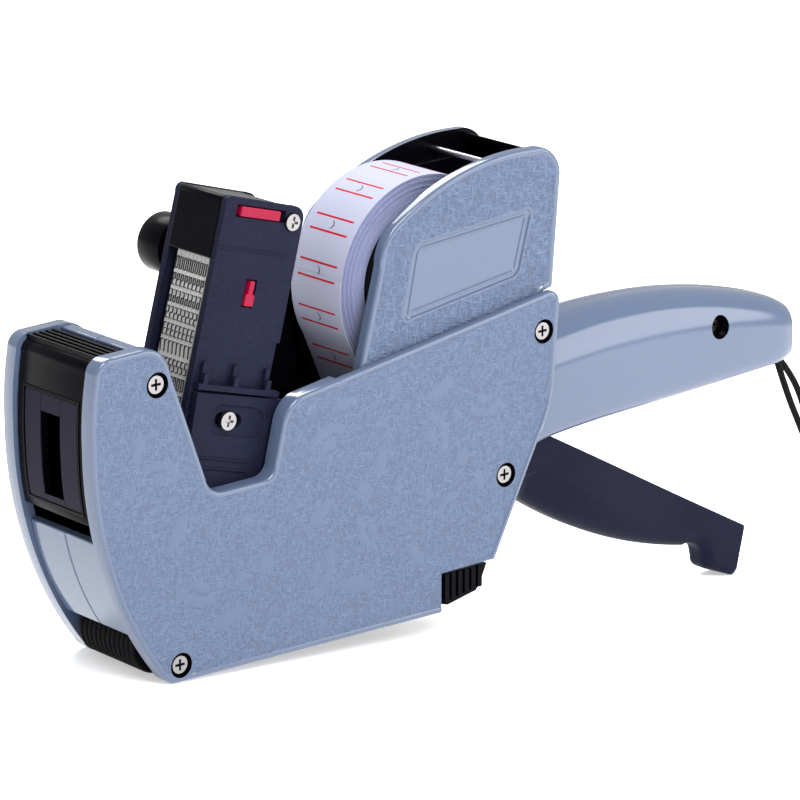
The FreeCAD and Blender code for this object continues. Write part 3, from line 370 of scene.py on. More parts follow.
def tube_faces(rings, around):
    """The faces of a tube of equal rings, closed at both ends."""
    faces = []
    for i in range(rings - 1):
        for k in range(around):
            a, b = i * around + k, i * around + (k + 1) % around
            faces.append([a, b, b + around, a + around])
    return faces + [list(range(around))[::-1], list(range((rings - 1) * around, rings * around))]


def even(value):
    """The same value at every point."""
    return lambda points, edge=None: np.full(len(points), value)


def relief(name, outline, side, outer, top, under, looks, paint, loops=(), holes=(),
           rings=(0.2, 0.45, 0.75, 1.0, 1.3, 1.65), step=0.9, inner=None):
    """A moulded panel: its face is lifted point by point, and its back is stepped.
    top(points, edge) is each point's depth below outer, under(points) its back's distance
    from the centre plane and paint(points, edge) the look of each triangle."""
    edge = trace(outline)
    ring = np.array(edge)
    extra = [inset(ring, offset) for offset in rings]
    low, high = ring.min(axis=0), ring.max(axis=0)
    across = np.arange(low[0], high[0], step)
    tall = np.arange(low[1], high[1], step * 0.87)
    field = np.array([(x + (step / 2 if k % 2 else 0), z)
                      for k, z in enumerate(tall) for x in across])
    field = field[inside(field, ring)]
    field = field[distance(field, ring) > rings[-1] + step * 0.5]
    extra.append(field)
    scattered = np.concatenate(extra)
    closed = [edge] + [list(loop) for loop in list(loops) + list(holes)]
    for loop in closed[1:]:
        scattered = scattered[distance(scattered, loop) > 0.22]
    points = []
    edges = []
    for loop in closed:
        start = len(points)
        points += [Vector(p) for p in loop]
        edges += [(start + i, start + (i + 1) % len(loop)) for i in range(len(loop))]
    points += [Vector(p) for p in scattered]
    flat, _, triangles, _, _, _ = delaunay_2d_cdt(points, edges, [], 0, 1e-4)
    flat = np.array([tuple(p) for p in flat])
    triangles = np.array(triangles)
    centres = flat[triangles].mean(axis=1)
    keep = inside(centres, ring)
    for hole in holes:
        keep &= ~inside(centres, hole)
    triangles, centres = triangles[keep], centres[keep]
    depth = top(flat, distance(flat, ring))
    backs = under(centres)
    colours = paint(centres, distance(centres, ring))
    vertices = []
    slots = {}

    def corner(point, level):
        key = (int(point), round(float(level), 3))
        if key not in slots:
            slots[key] = len(vertices)
            vertices.append(row(flat[point][0], flat[point][1], side * float(level)))
        return slots[key]

    faces, index, borders = [], [], {}
    for triangle, back, colour in zip(triangles, backs, colours):
        levels = [outer - depth[p] for p in triangle]
        faces.append([corner(p, level) for p, level in zip(triangle, levels)])
        faces.append([corner(p, back) for p in reversed(triangle)])
        index += [int(colour), inner(back) if inner else 0]
        for a, b in ((0, 1), (1, 2), (2, 0)):
            pair = (int(triangle[a]), int(triangle[b]))
            borders.setdefault(tuple(sorted(pair)), []).append((pair, back))
    for found in borders.values():
        (a, b), back = found[0]
        if len(found) == 1:
            faces.append([corner(a, outer - depth[a]), corner(a, back), corner(b, back),
                          corner(b, outer - depth[b])])
            index.append(0)
        elif abs(found[1][1] - back) > 0.01:
            other = found[1][1]
            faces.append([corner(a, back), corner(b, back), corner(b, other), corner(a, other)])
            index.append(inner(max(back, other)) if inner else 0)
    return add_object(name, vertices, faces, looks, index)


def slab(name, points, low, high, look, place=row):
    """A flat piece between two distances from the centre plane."""
    count = len(points)
    vertices = [place(x, z, y) for y in (low, high) for x, z in points]
    faces = [list(range(count)), list(range(2 * count - 1, count - 1, -1))]
    faces += [[i, (i + 1) % count, count + (i + 1) % count, count + i] for i in range(count)]
    return add_object(name, vertices, faces, [look])


def prism(name, outline, low, high, look, bevel=0.35, place=row):
    """A slab with softened edges, or with sharp ones if bevel is 0."""
    made = slab(name, trace(outline, 1.0), low, high, look, place)
    if bevel:
        soften(made, bevel)
    return made


def soften(made, width, weld=False):
    """Round the sharp edges of a piece."""
    if weld:
        joined = made.modifiers.new("weld", "WELD")
        joined.merge_threshold = 0.000005
        flat = made.modifiers.new("flat", "DECIMATE")
        flat.decimate_type = "DISSOLVE"
        flat.angle_limit = math.radians(0.8)
    edge = made.modifiers.new("edge", "BEVEL")
    edge.width = width * MM
    edge.segments = 2
    edge.limit_method = "ANGLE"
    edge.angle_limit = math.radians(38)


# ---------------------------------------------------------------- the wrist strap

STRAP_ROUTE = [
    (124.6, -3.9, 66.6), (131.6, -3.8, 52.6), (140.4, -4.2, 38.6), (149.4, -5.6, 20.8),
    (161.5, -9.2, 5.2), (182.0, -14.6, 1.1), (203.5, -9.6, 1.1), (213.5, 8.8, 1.1),
    (202.5, 28.4, 1.1), (181.5, 29.8, 1.1), (165.0, 16.2, 1.1), (155.6, 5.2, 13.0),
    (149.8, 1.0, 32.4), (143.2, -0.1, 47.4), (134.8, -0.3, 58.6), (125.2, -0.2, 66.6)]
STRAP_LENGTH, STRAP_WIDTH = 0.275, 0.002
STRANDS, LAY = 5, 0.00028


def smooth_line(route):
    """The points of one NURBS spline that follows the route."""
    curve = bpy.data.curves.new("strap_line", "CURVE")
    curve.dimensions = "3D"
    curve.resolution_u = 48
    spline = curve.splines.new("NURBS")
    spline.points.add(len(route) - 1)
    for point, place in zip(spline.points, route):
        point.co = (*(Vector(place) * MM), 1.0)
    spline.order_u = 3
    spline.use_endpoint_u = True
    carrier = bpy.data.objects.new("strap_line", curve)
    bpy.context.scene.collection.objects.link(carrier)
    bpy.context.view_layer.update()
    mesh = bpy.data.meshes.new_from_object(carrier)
    line = [v.co.copy() for v in mesh.vertices]
    bpy.data.objects.remove(carrier)
    return line


def braided(name, line, width, look, around=20):
    """A braided tube along a line: crossed strands stand out of its surface."""
    across = Vector((0, 1, 0))
    vertices, travelled = [], 0.0
    for i, place in enumerate(line):
        ahead = line[min(i + 1, len(line) - 1)]
        behind = line[max(i - 1, 0)]
        along = (ahead - behind).normalized()
        if i:
            travelled += (place - line[i - 1]).length
        across = (across - along * across.dot(along)).normalized()
        over = along.cross(across)
        for k in range(around):
            turn = 2 * math.pi * k / around
            wave = (math.sin(STRANDS * turn + travelled / LAY)
                    * math.sin(STRANDS * turn - travelled / LAY))
            radius = width / 2 * (0.93 + 0.07 * wave)
            vertices.append(place + (across * math.cos(turn) + over * math.sin(turn)) * radius)
    return add_object(name, vertices, tube_faces(len(line), around), [look])


strap_line = smooth_line(STRAP_ROUTE)
strap = braided("strap_cord", strap_line, STRAP_WIDTH, "cord_black")
fit(strap, "frame", "wrist_strap")
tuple(strap_line[0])

# ---------------------------------------------------------------- side shells

# The fourth look is black: painted shade in the screw recesses and inside the shell.
PLAIN, LINEN, PATCH, PAINTED_SHADE = range(4)
SCREWS = [FRONT_SCREW, NOSE_SCREW, REAR_SCREW, LEVER_PIVOT]
BOSSES = (5.0, 4.1, 5.0, 5.0)
RECESS, RECESS_DEPTH = 3.1, 2.2
RIM, PATCH_PROUD = 1.6, 0.14
SCREW_CLEAR, EDGE_CLEAR, PATCH_GAP = 6.0, 5.0, 0.9


def band_arc(centre, radius, width, first, last, count=14):
    """A curved bar, part of a ring."""
    turns = [math.radians(first + (last - first) * i / count) for i in range(count + 1)]
    return ([polar(centre, radius + width / 2, t) for t in turns]
            + [polar(centre, radius - width / 2, t) for t in reversed(turns)])


def leaf(centre, length, width, turn, count=10):
    """A pointed leaf."""
    angle = math.radians(turn)
    shape = []
    for sign in (1, -1):
        for i in range(count):
            t = i / count if sign > 0 else 1 - i / count
            along, over = (t - 0.5) * length, sign * width / 2 * math.sin(math.pi * t)
            shape.append((centre[0] + along * math.cos(angle) - over * math.sin(angle),
                          centre[1] + along * math.sin(angle) + over * math.cos(angle)))
    return shape


WAVES = (
    (20, 52, 7, 20), (34, 28, 8, 200), (50, 38, 6, 110), (66, 22, 9, 290), (76, 50, 8, 60),
    (92, 30, 7, 160), (106, 48, 8, 340), (118, 26, 6, 80), (128, 60, 7, 220), (96, 62, 6, 30))
LEAVES = (
    (26, 40, 13, 60), (42, 14, 14, 10), (60, 40, 12, 120), (72, 36, 12, 40), (84, 14, 14, 170),
    (92, 46, 12, 75), (112, 62, 12, 20), (104, 18, 11, 130), (134, 48, 11, 100),
    (14, 64, 10, 80), (80, 64, 10, 10))
DOTS = (
    (32, 46, 2.0), (54, 26, 2.4), (70, 12, 1.8), (86, 40, 2.2), (98, 38, 1.8), (120, 42, 2.3),
    (108, 34, 1.7), (46, 24, 1.6), (126, 34, 1.8), (66, 56, 2.0), (118, 54, 1.8))


def pattern():
    """Abstract low patches on the side: quarter waves, leaves and dots, in no script."""
    patches = []
    for x, z, size, turn in WAVES:
        patches.append(band_arc((x, z), size, size * 0.34, turn, turn + 95))
        patches.append(band_arc((x, z), size * 0.5, size * 0.3, turn + 10, turn + 85))
    patches += [leaf((x, z), length, length * 0.34, turn) for x, z, length, turn in LEAVES]
    patches += [circle((x, z), radius, 20) for x, z, radius in DOTS]
    clear = []
    edge = trace(SHELL)
    for patch in patches:
        near_screw = any(math.dist(p, s) < SCREW_CLEAR for p in patch for s in SCREWS)
        held = inside(patch, edge).all() and distance(patch, edge).min() > EDGE_CLEAR
        crossed = any(distance(patch, other).min() < PATCH_GAP or inside(patch, other).any()
                      or inside(other, patch).any() for other in clear)
        if held and not near_screw and not crossed:
            clear.append(patch)
    return clear


PATCHES = pattern()


def edge_profile(edge, drop=0.7, round_off=1.0, rim=1.3, sunk=0.25):
    """Depth of a panel's face: a rounded edge, a flat rim, then the panel."""
    near = np.clip(edge / round_off, 0, 1)
    depth = drop * (1 - np.sqrt(1 - (1 - near) ** 2))
    return depth + sunk * np.clip((edge - rim) / 0.3, 0, 1)


def shell_skin(name, cad_node, side):
    seats = SCREWS if side < 0 else []

    def top(points, edge):
        depth = edge_profile(edge)
        for patch in PATCHES:
            within = inside(points, patch) & (distance(points, patch) > 0.05)
            depth = np.where(within, depth - PATCH_PROUD, depth)
        for seat in seats:
            reach = reach_from(seat, points)
            depth = np.where(reach < RECESS + 1.2, np.minimum(depth, 0.1), depth)
            depth = np.where(reach < RECESS + 0.02, RECESS_DEPTH, depth)
        return depth

    def under(points):
        level = np.where(inside(points, trace(SHELL_HOLLOW)), WALL_IN, RIM_HALF)
        for seat, radius in zip(SCREWS, BOSSES):
            reach = reach_from(seat, points)
            level = np.where(reach < radius, RIM_HALF, level)
        return level

    def paint(points, edge):
        colour = np.where(edge > RIM, LINEN, PLAIN)
        for patch in PATCHES:
            colour = np.where(inside(points, patch), PATCH, colour)
        # Painted shade: the screw recesses, walls and floor, are painted black.
        for seat in seats:
            reach = reach_from(seat, points)
            colour = np.where(reach < RECESS + 0.22, PAINTED_SHADE, colour)
        return colour

    loops = [trace(SHELL_HOLLOW)] + list(PATCHES)
    for seat in SCREWS:
        loops += [circle(seat, RECESS), circle(seat, RECESS + 0.25)]
    # The inside faces of the hollow are painted black as painted shade.
    made = relief(name, SHELL, side, HALF, top, under,
                  ["blue_plastic", "linen_blue", "linen_patch", "black_gloss"], paint,
                  loops, [trace(LATCH_WINDOW)], inner=lambda level: PAINTED_SHADE * (level > RIM_HALF))
    fit(made, "frame", cad_node)


shell_skin("shell_left_skin", "shell_left", -1)
shell_skin("shell_right_skin", "shell_right", 1)

SEAM = 0.12
for side, word in ((-1, "left"), (1, "right")):
    for part, outline in (("front", FRONT_PLATE), ("top", TOP_PLATE)):
        ends = sorted((side * SEAM, side * RIM_HALF))
        plate = prism("%s_plate_%s" % (part, word), outline, ends[0], ends[1], "blue_plastic")
        fit(plate, "frame")


# ---------------------------------------------------------------- handle

def blend_row(rows, t):
    """Catmull-Rom through the rows at t."""
    i = min(int(t), len(rows) - 2)
    s = t - i
    a, b, c, d = (rows[max(0, min(len(rows) - 1, k))] for k in (i - 1, i, i + 1, i + 2))
    return [0.5 * (2 * q + (r - p) * s + (2 * p - 5 * q + 4 * r - w) * s * s
                   + (3 * q - p - 3 * r + w) * s ** 3) for p, q, r, w in zip(a, b, c, d)]


SEAM_GROOVE = 0.3
TOP_POWER, UNDER_POWER = 2 / 2.6, 2 / 5.0


def handle():
    """One grip, round above and flatter below, with a seam along its middle and a blunt end."""
    around, per = 72, 8
    rows = [blend_row(HANDLE_SECTIONS, k / per)
            for k in range((len(HANDLE_SECTIONS) - 1) * per + 1)]
    x, bottom, high, half = rows[-1]
    for share in (0.35, 0.65, 0.85, 0.97):
        shrink = math.sqrt(1 - share * share)
        middle, tall = (bottom + high) / 2, (high - bottom) / 2
        rows.append((x + share, middle - tall * shrink, middle + tall * shrink,
                     half * shrink))
    vertices = []
    for x, bottom, high, half in rows:
        middle, tall = (bottom + high) / 2, (high - bottom) / 2
        for k in range(around):
            turn = 2 * math.pi * k / around
            c, s = math.cos(turn), math.sin(turn)
            power = TOP_POWER if s > 0 else UNDER_POWER
            y = half * math.copysign(abs(c) ** power, c)
            z = tall * math.copysign(abs(s) ** power, s)
            if k in (around // 4, 3 * around // 4):
                z -= math.copysign(SEAM_GROOVE, s)
            vertices.append(row(x, middle + z, y))
    return add_object("handle_grip", vertices, tube_faces(len(rows), around),
                      ["blue_plastic", "black_gloss"])


def drill(made, cutters):
    """Cut the cutters out of a piece for good."""
    for cutter in cutters:
        bpy.context.view_layer.update()
        hole = made.modifiers.new("hole", "BOOLEAN")
        hole.object = cutter
        hole.solver = "EXACT"
        bpy.context.view_layer.update()
        fresh = bpy.data.meshes.new_from_object(made.evaluated_get(
            bpy.context.evaluated_depsgraph_get()))
        made.modifiers.clear()
        made.data = fresh
        bpy.data.objects.remove(cutter)
    made.data.shade_smooth()
    made.data.set_sharp_from_angle(angle=SHARP)


grip = handle()
drill(grip, [
    slab("screw_cut", circle(HANDLE_SCREW, 3.4, 40), -16.0, -5.9, "black_gloss"),
    prism("strap_cut", rectangle(244.6, 30.0, 258.0, 53.0), -3.4, 3.4, "black_gloss", 0),
    prism("trigger_cut", rectangle(130.0, 20.0, 194.0, 56.0), -9.0, 9.0, "blue_plastic", 0),
    prism("body_cut", rectangle(130.0, 50.0, 151.0, 84.0), -14.0, 14.0, "black_gloss", 0)])
fit(grip, "frame")


# ---------------------------------------------------------------- trigger

ROOT, SHOULDER, TIP = (141.5, 31.0), (159.1, 38.7), (239.0, -4.6)
TRIGGER = [
    ROOT, SHOULDER, TIP, (236.2, -17.0),
    ((235.4, -18.3), (233.4, -18.3)), (226.2, -15.6), ((224.4, -14.4), (223.9, -12.4)),
    (223.2, -9.6), ((221.2, -7.2), (216.0, -6.4)), ((184.0, 3.3), (149.0, 23.4)), (137.0, 27.2)]
TOP_SLOPE, BACK_SLOPE, ROOT_SLOPE = -0.542, 0.226, 0.4375
TAPER_START, TAPER_RUN, TAPER = 168.0, 50.0, 3.4
CRISP, BLUNT_REACH, BLUNT_DROP = 0.6, 0.8, 0.65
BELLY_REACH, BELLY_NARROWS = 14.0, 9.5
BELLY_DROP, BELLY_SHALLOWS = 6.0, 3.2
FOOT_START, FOOT_RUN, NECK_END, NECK_RUN = 225.0, 9.0, 154.0, 10.0
TRIGGER_HALF, HUB_RADIUS = 8.0, 7.2


def trigger_skin():
    """The trigger narrows towards its foot; its underside is round and its top edge crisp."""
    def top(points, edge):
        x, z = points[:, 0], points[:, 1]
        along = np.clip((x - TAPER_START) / TAPER_RUN, 0, 1)
        along = along * along * (3 - 2 * along)
        from_top = (SHOULDER[1] + TOP_SLOPE * (x - SHOULDER[0]) - z) * 0.88
        from_back = TIP[0] + BACK_SLOPE * (z - TIP[1]) - x
        from_root = (ROOT[1] + ROOT_SLOPE * (x - ROOT[0]) - z) * 0.916
        nearest = np.minimum(np.minimum(from_top, from_back), from_root)
        crisp = nearest < edge * 1.15 + 0.1
        blunt = np.clip(np.maximum((x - FOOT_START) / FOOT_RUN, (NECK_END - x) / NECK_RUN), 0, 1)
        reach = (BELLY_REACH - BELLY_NARROWS * along) * (1 - blunt) + BLUNT_REACH * blunt
        drop = (BELLY_DROP - BELLY_SHALLOWS * along) * (1 - blunt) + BLUNT_DROP * blunt
        reach, drop = np.where(crisp, CRISP, reach), np.where(crisp, CRISP, drop)
        near = np.clip(edge / reach, 0, 1)
        return TAPER * along + drop * (1 - np.sqrt(1 - (1 - near) ** 2))

    for side, word, cad_node in ((-1, "left", "trigger_lever"), (1, "right", None)):
        made = relief("trigger_" + word, TRIGGER, side, TRIGGER_HALF, top, even(0.0),
                      ["trigger_plastic"], even(0), step=1.0,
                      rings=(0.1, 0.25, 0.5, 0.8, 1.2, 1.7, 2.3, 3.0))
        fit(made, "lever", cad_node)
    for name, outline in (("lever_hub", circle(LEVER_PIVOT, HUB_RADIUS, 48)),
                          ("lever_tongue", [(118.0, 31.0), (135.0, 28.0), (140.0, 40.0),
                                            (118.0, 40.0)])):
        fit(prism(name, outline, -10.6, 4.0, "trigger_plastic", 0.4), "lever")


trigger_skin()

# ---------------------------------------------------------------- front flap's frame

FLAP_FRONT = (arc((2.7, 84.5), (1.35, 72.0), (1.3, 60.0), 0.6)
              + arc((1.3, 60.0), (1.8, 52.0), (3.0, 44.8), 0.6))
FRAME_LOW, FRAME_HIGH, FRAME_HALF, FRAME_WIDE = 47.0, 77.0, 12.1, 0.6
WINDOW_LOW, WINDOW_HIGH, WINDOW_NEAR, WINDOW_FAR = 49.6, 71.6, -3.9, 4.5
PANEL_GAP, PANEL_PROUD, FRAME_PROUD = 0.3, 0.12, 0.3


def flap_frame():
    """A fine raised frame and a satin panel round the window, bent to the flap's front."""
    heights, depths = zip(*sorted((z, x) for x, z in FLAP_FRONT))
    vertices, faces = [], []

    def bar(low, high, near, far, steps, out=FRAME_PROUD):
        start = len(vertices)
        for k in range(steps + 1):
            z = low + (high - low) * k / steps
            x = float(np.interp(z, heights, depths))
            for y, proud in ((near, -0.1), (near + 0.1, out), (far - 0.1, out), (far, -0.1)):
                vertices.append(row(x - proud, z, y))
        for k in range(steps):
            for j in range(3):
                a = start + 4 * k + j
                faces.append([a, a + 1, a + 5, a + 4])
        last = start + 4 * steps
        faces.extend([[start, start + 3, start + 2, start + 1],
                      [last, last + 1, last + 2, last + 3]])

    for y in (-FRAME_HALF, FRAME_HALF - FRAME_WIDE):
        bar(FRAME_LOW, FRAME_HIGH, y, y + FRAME_WIDE, 40)
    for z in (FRAME_LOW, FRAME_HIGH - FRAME_WIDE):
        bar(z, z + FRAME_WIDE, -FRAME_HALF, FRAME_HALF, 2)
    count = len(faces)
    margin = FRAME_WIDE + PANEL_GAP
    low, high, side = FRAME_LOW + margin, FRAME_HIGH - margin, FRAME_HALF - margin
    bar(low, high, -side, WINDOW_NEAR, 40, PANEL_PROUD)
    bar(low, high, WINDOW_FAR, side, 40, PANEL_PROUD)
    bar(low, WINDOW_LOW, WINDOW_NEAR, WINDOW_FAR, 4, PANEL_PROUD)
    bar(WINDOW_HIGH, high, WINDOW_NEAR, WINDOW_FAR, 8, PANEL_PROUD)
    index = [0] * count + [1] * (len(faces) - count)
    made = add_object("flap_frame", vertices, faces, ["black_gloss", "flap_satin"], index)
    fit(made, "flap")


flap_frame()

# ---------------------------------------------------------------- magazine cover

COVER_HALF, COVER_BACK, COVER_RIM = 17.15, 14.15, 1.8
RECESS_SUNK, RIDGE_PROUD = 0.5, 0.3
RIDGE_NEAR, RIDGE_FAR = 1.4, 1.8


def cover_skin(name, cad_node, side):
    plate = trace(NAME_RECESS)

    def top(points, edge):
        depth = edge_profile(edge, rim=1.5)
        near = distance(points, plate)
        within = inside(points, plate)
        depth = np.where(within, depth + RECESS_SUNK * np.clip(near / 0.3, 0, 1), depth)
        ridge = within & (near > RIDGE_NEAR) & (near < RIDGE_FAR)
        return np.where(ridge, depth - RIDGE_PROUD, depth)

    def paint(points, edge):
        colour = np.where(edge > COVER_RIM, LINEN, PLAIN)
        near = distance(points, plate)
        return np.where((near < 0.4) | inside(points, plate), PLAIN, colour)

    # The cover's inside face takes the black look: painted shade inside the magazine.
    made = relief(name, FIN, side, COVER_HALF, top, even(COVER_BACK),
                  ["blue_plastic", "linen_cover", "black_gloss"], paint,
                  [plate] + [inset(plate, d) for d in (0.3, 1.2, 1.45, 1.75, 2.0)],
                  rings=(0.2, 0.45, 0.75, 1.0, 1.5, 1.85), step=0.7, inner=lambda level: 2)
    fit(made, "cover", cad_node)


cover_skin("cover_left_skin", "cover_side_left", -1)
cover_skin("cover_right_skin", "cover_side_right", 1)

# ---------------------------------------------------------------- roll of labels

ROLL_OUT, ROLL_IN, ROLL_HALF = 28.0, 20.3, 10.5
LABEL_PITCH, RULE_GAP, MARK_PHASE, STRIP_START = 12.7, 4.2, 0.45, 172.0
LABELS = round(2 * math.pi * ROLL_OUT / LABEL_PITCH)
RULE_REACH, RULE_HALF = 7.6, 0.26
CUT_REACH, CUT_RISE, CUT_HALF, CUT_STEPS = 1.2, 0.9, 0.17, 6
HIDDEN_START = 0.6
DRUM_AXIS, DRUM_OUT = (107.0, 15.9), 7.65
PLATEN_TOP, PLATEN_END = 8.25, 35.0
STRIP_HALF, STRIP_THICK = 10.2, 0.12


def roll_point(radius, turn, y):
    return row(*polar(ROLL_AXIS, radius, turn), y)


LAYERS, LAYER_LIFT, LAYER_EDGE, LAYER_GROOVE = 22, 0.22, 0.28, 0.45


def roll_skin():
    """Wound strip: the layers stand a little unevenly on both sides."""
    around = 128
    profile = []
    for k in range(LAYERS + 1):
        radius = ROLL_IN + (ROLL_OUT - ROLL_IN) * k / LAYERS
        side = ROLL_HALF - LAYER_EDGE + random.uniform(0.0, LAYER_LIFT)
        profile += [(radius, side)]
        if k < LAYERS:
            profile += [(radius + 0.09, ROLL_HALF - LAYER_GROOVE), (radius + 0.30, side)]
    ring = profile + [(radius, -y) for radius, y in reversed(profile)]
    count = len(ring)
    vertices = [roll_point(radius, 2 * math.pi * i / around, y)
                for i in range(around) for radius, y in ring]
    faces, index = [], []
    for i in range(around):
        for k in range(count):
            a, b = i * count + k, i * count + (k + 1) % count
            c, d = (i + 1) % around * count + (k + 1) % count, (i + 1) % around * count + k
            faces.append([a, b, c, d])
            index.append(0 if k == len(profile) - 1 else 1)
    made = add_object("label_roll_skin", vertices, faces, ["label_paper", "paper_edge"], index)
    fit(made, "roll", "label_roll")


def label_marks(kind, body, starts, lifts, place):
    """Red rules in pairs across the strip, and a small curved cut between the two of a pair.
    A pair begins at each start; place(along, y, lift) is a point over the paper's face."""
    rules, cuts = ([], []), ([], [])

    def patch(store, corners):
        store[1].extend(box_faces(len(store[0])))
        store[0].extend(place(along, y, lift) for lift in lifts for along, y in corners)

    for start in starts:
        for middle in (start, start + RULE_GAP):
            if middle > HIDDEN_START:
                patch(rules, rectangle(middle - RULE_HALF, -RULE_REACH,
                                       middle + RULE_HALF, RULE_REACH))
        for k in range(CUT_STEPS):
            ends = [2 * j / CUT_STEPS - 1 for j in (k, k + 1)]
            (s0, s1), (y0, y1) = zip(*((start + RULE_GAP / 2 + CUT_REACH * t,
                                        CUT_RISE * (t * t - 1)) for t in ends))
            if s0 > HIDDEN_START:
                patch(cuts, [(s0, y0 - CUT_HALF), (s0, y0 + CUT_HALF),
                             (s1, y1 + CUT_HALF), (s1, y1 - CUT_HALF)])
    for word, (vertices, faces), look in (("rules", rules, "label_red"),
                                          ("cuts", cuts, "figure_ink")):
        made = add_object(kind + "_" + word, vertices, faces, [look], smooth=False)
        fit(made, body)


def label_start(label):
    """Where a label begins, in millimetres round the roll."""
    return 2 * math.pi * (label + MARK_PHASE) / LABELS * ROLL_OUT


def strip_line():
    """The strip's path in the side view: along the roll, round the drum, forward to the nose."""
    path = [polar(ROLL_AXIS, ROLL_OUT + lift, math.radians(turn))
            for turn, lift in ((STRIP_START, 0.08), (178, 0.16), (184, 0.24), (190, 0.32),
                               (196, 0.4), (202, 0.45), (207, 0.5), (212, 0.5))]
    last = path[-1]
    loop = [polar(DRUM_AXIS, DRUM_OUT, math.radians(22 - 8 * k)) for k in range(15)]
    path += [(last[0] + (loop[0][0] - last[0]) * k / 24, last[1] + (loop[0][1] - last[1]) * k / 24)
             for k in range(1, 24)]
    path += loop
    end = path[-1]
    return path + [(end[0] + (PLATEN_END - end[0]) * k / 30, PLATEN_TOP) for k in range(1, 31)]


def strip_skin():
    """The label strip as one thin sheet."""
    path = strip_line()
    vertices, faces = [], []
    for i, (x, z) in enumerate(path):
        ahead, behind = path[min(i + 1, len(path) - 1)], path[max(i - 1, 0)]
        run = Vector((ahead[0] - behind[0], ahead[1] - behind[1])).normalized()
        for lift in (0.0, STRIP_THICK):
            vertices += [row(x + run.y * lift, z - run.x * lift, y)
                         for y in (-STRIP_HALF, STRIP_HALF)]
    for i in range(len(path) - 1):
        a, b = 4 * i, 4 * i + 4
        faces += [[a, a + 1, b + 1, b], [a + 3, a + 2, b + 2, b + 3], [a + 2, a, b, b + 2],
                  [a + 1, a + 3, b + 3, b + 1]]
    tail = 4 * len(path) - 4
    faces += [[0, 2, 3, 1], [tail, tail + 1, tail + 3, tail + 2]]
    made = add_object("label_strip_skin", vertices, faces, ["label_paper"])
    fit(made, "frame", "label_strip")


def strip_marks():
    """The rules and cuts go on down the strip, in step with those on the roll."""
    path = [Vector(p) for p in strip_line()]
    travelled = [0.0]
    for before, after in zip(path, path[1:]):
        travelled.append(travelled[-1] + (after - before).length)

    def place(along, y, lift):
        i = max(k for k in range(len(path) - 1) if travelled[k] <= along)
        run = (path[i + 1] - path[i]).normalized()
        spot = path[i] + run * (along - travelled[i])
        return row(spot.x + run.y * lift, spot.y - run.x * lift, y)

    origin = math.radians(STRIP_START) * ROLL_OUT
    shown = range(LABELS // 2 - 1, LABELS // 2 + 4)
    label_marks("strip", "frame", [label_start(label) - origin for label in shown],
                (0.02, 0.16), place)


roll_skin()
label_marks("label", "roll", [label_start(label) for label in range(LABELS)], (0.0, 0.03),
            lambda along, y, lift: roll_point(ROLL_OUT + lift, along / ROLL_OUT, y))
strip_skin()
strip_marks()

# A black plate on the far side of the throat, in front of the far cover's edge: painted shade
# between the head and the roll.
THROAT = [(81.0, 60.0), (81.0, 72.0), (86.5, 92.0), (96.0, 92.0), (88.5, 60.0)]
throat_shade = prism("throat_painted_shade", THROAT, 13.3, 13.95, "black_gloss", 0.15)
fit(throat_shade, "frame")

# ---------------------------------------------------------------- figures on the bands

STROKES = {
    "0": [(0, 0, 1, 0), (1, 0, 1, 2), (1, 2, 0, 2), (0, 2, 0, 0)],
    "2": [(0, 2, 1, 2), (1, 2, 1, 1), (1, 1, 0, 1), (0, 1, 0, 0), (0, 0, 1, 0)],
    "3": [(0, 2, 1, 2), (1, 2, 1, 0), (0, 1, 1, 1), (0, 0, 1, 0)],
    "5": [(1, 2, 0, 2), (0, 2, 0, 1), (0, 1, 1, 1), (1, 1, 1, 0), (1, 0, 0, 0)],
    "6": [(1, 2, 0, 2), (0, 2, 0, 0), (0, 0, 1, 0), (1, 0, 1, 1), (1, 1, 0, 1)],
    "7": [(0, 2, 1, 2), (1, 2, 0.4, 0)],
    "9": [(1, 1, 0, 1), (0, 1, 0, 2), (0, 2, 1, 2), (1, 2, 1, 0), (1, 0, 0, 0)],
}
FIGURE_ROWS = "096537205627"
BANDS, BAND_PITCH, BAND_FRONT = 8, 1.68, -1.8
FIRST_ROW, ROW_PITCH = 26.6, 4.3
FIGURE_WIDE, FIGURE_TALL, STROKE = 1.05, 3.2, 0.19
FIGURE_SUNK, FIGURE_PROUD = -0.05, 0.28


def band_figures():
    """Raised figures on the front of the eight bands, one figure to a row."""
    vertices, faces = [], []
    for number, figure in enumerate(FIGURE_ROWS):
        for column in range(BANDS):
            middle = (column - (BANDS - 1) / 2) * BAND_PITCH
            base = FIRST_ROW - number * ROW_PITCH
            for ax, az, bx, bz in STROKES[figure]:
                ends = [Vector((middle + (x - 0.5) * (FIGURE_WIDE - STROKE),
                                base + z / 2 * (FIGURE_TALL - STROKE)))
                        for x, z in ((ax, az), (bx, bz))]
                along = (ends[1] - ends[0]).normalized()
                over = Vector((-along.y, along.x)) * STROKE / 2
                along = along * STROKE / 2
                square = [ends[0] - along - over, ends[1] + along - over,
                          ends[1] + along + over, ends[0] - along + over]
                faces += box_faces(len(vertices))
                vertices += [head(BAND_FRONT - lift, p.y, p.x)
                             for lift in (FIGURE_SUNK, FIGURE_PROUD) for p in square]
    made = add_object("band_figures", vertices, faces, ["figure_ink"], smooth=False)
    fit(made, "lever")


band_figures()

# ---------------------------------------------------------------- small pieces of the head

# A black plate behind the lock slot, so the slot does not show through: painted shade inside the
# head.
shade = prism("lock_shade", rectangle(0.2, 42.9, 17.0, 46.7), -8.6, -8.35, "black_gloss", 0.05,
              head)
fit(shade, "lever")

for number, u in enumerate((-18.9, -21.4)):
    ledge = prism("bracket_ledge_%d" % number, rectangle(-1.0, u, 18.5, u + 0.6), -13.9, -13.3,
                  "head_plastic", 0.15, head)
    fit(ledge, "lever")

# ---------------------------------------------------------------- shadow in the screws' crosses

CROSS_REACH, CROSS_HALF = 1.35, 0.3
CROSS_SUNK, CROSS_DEEP = 0.3, 0.62


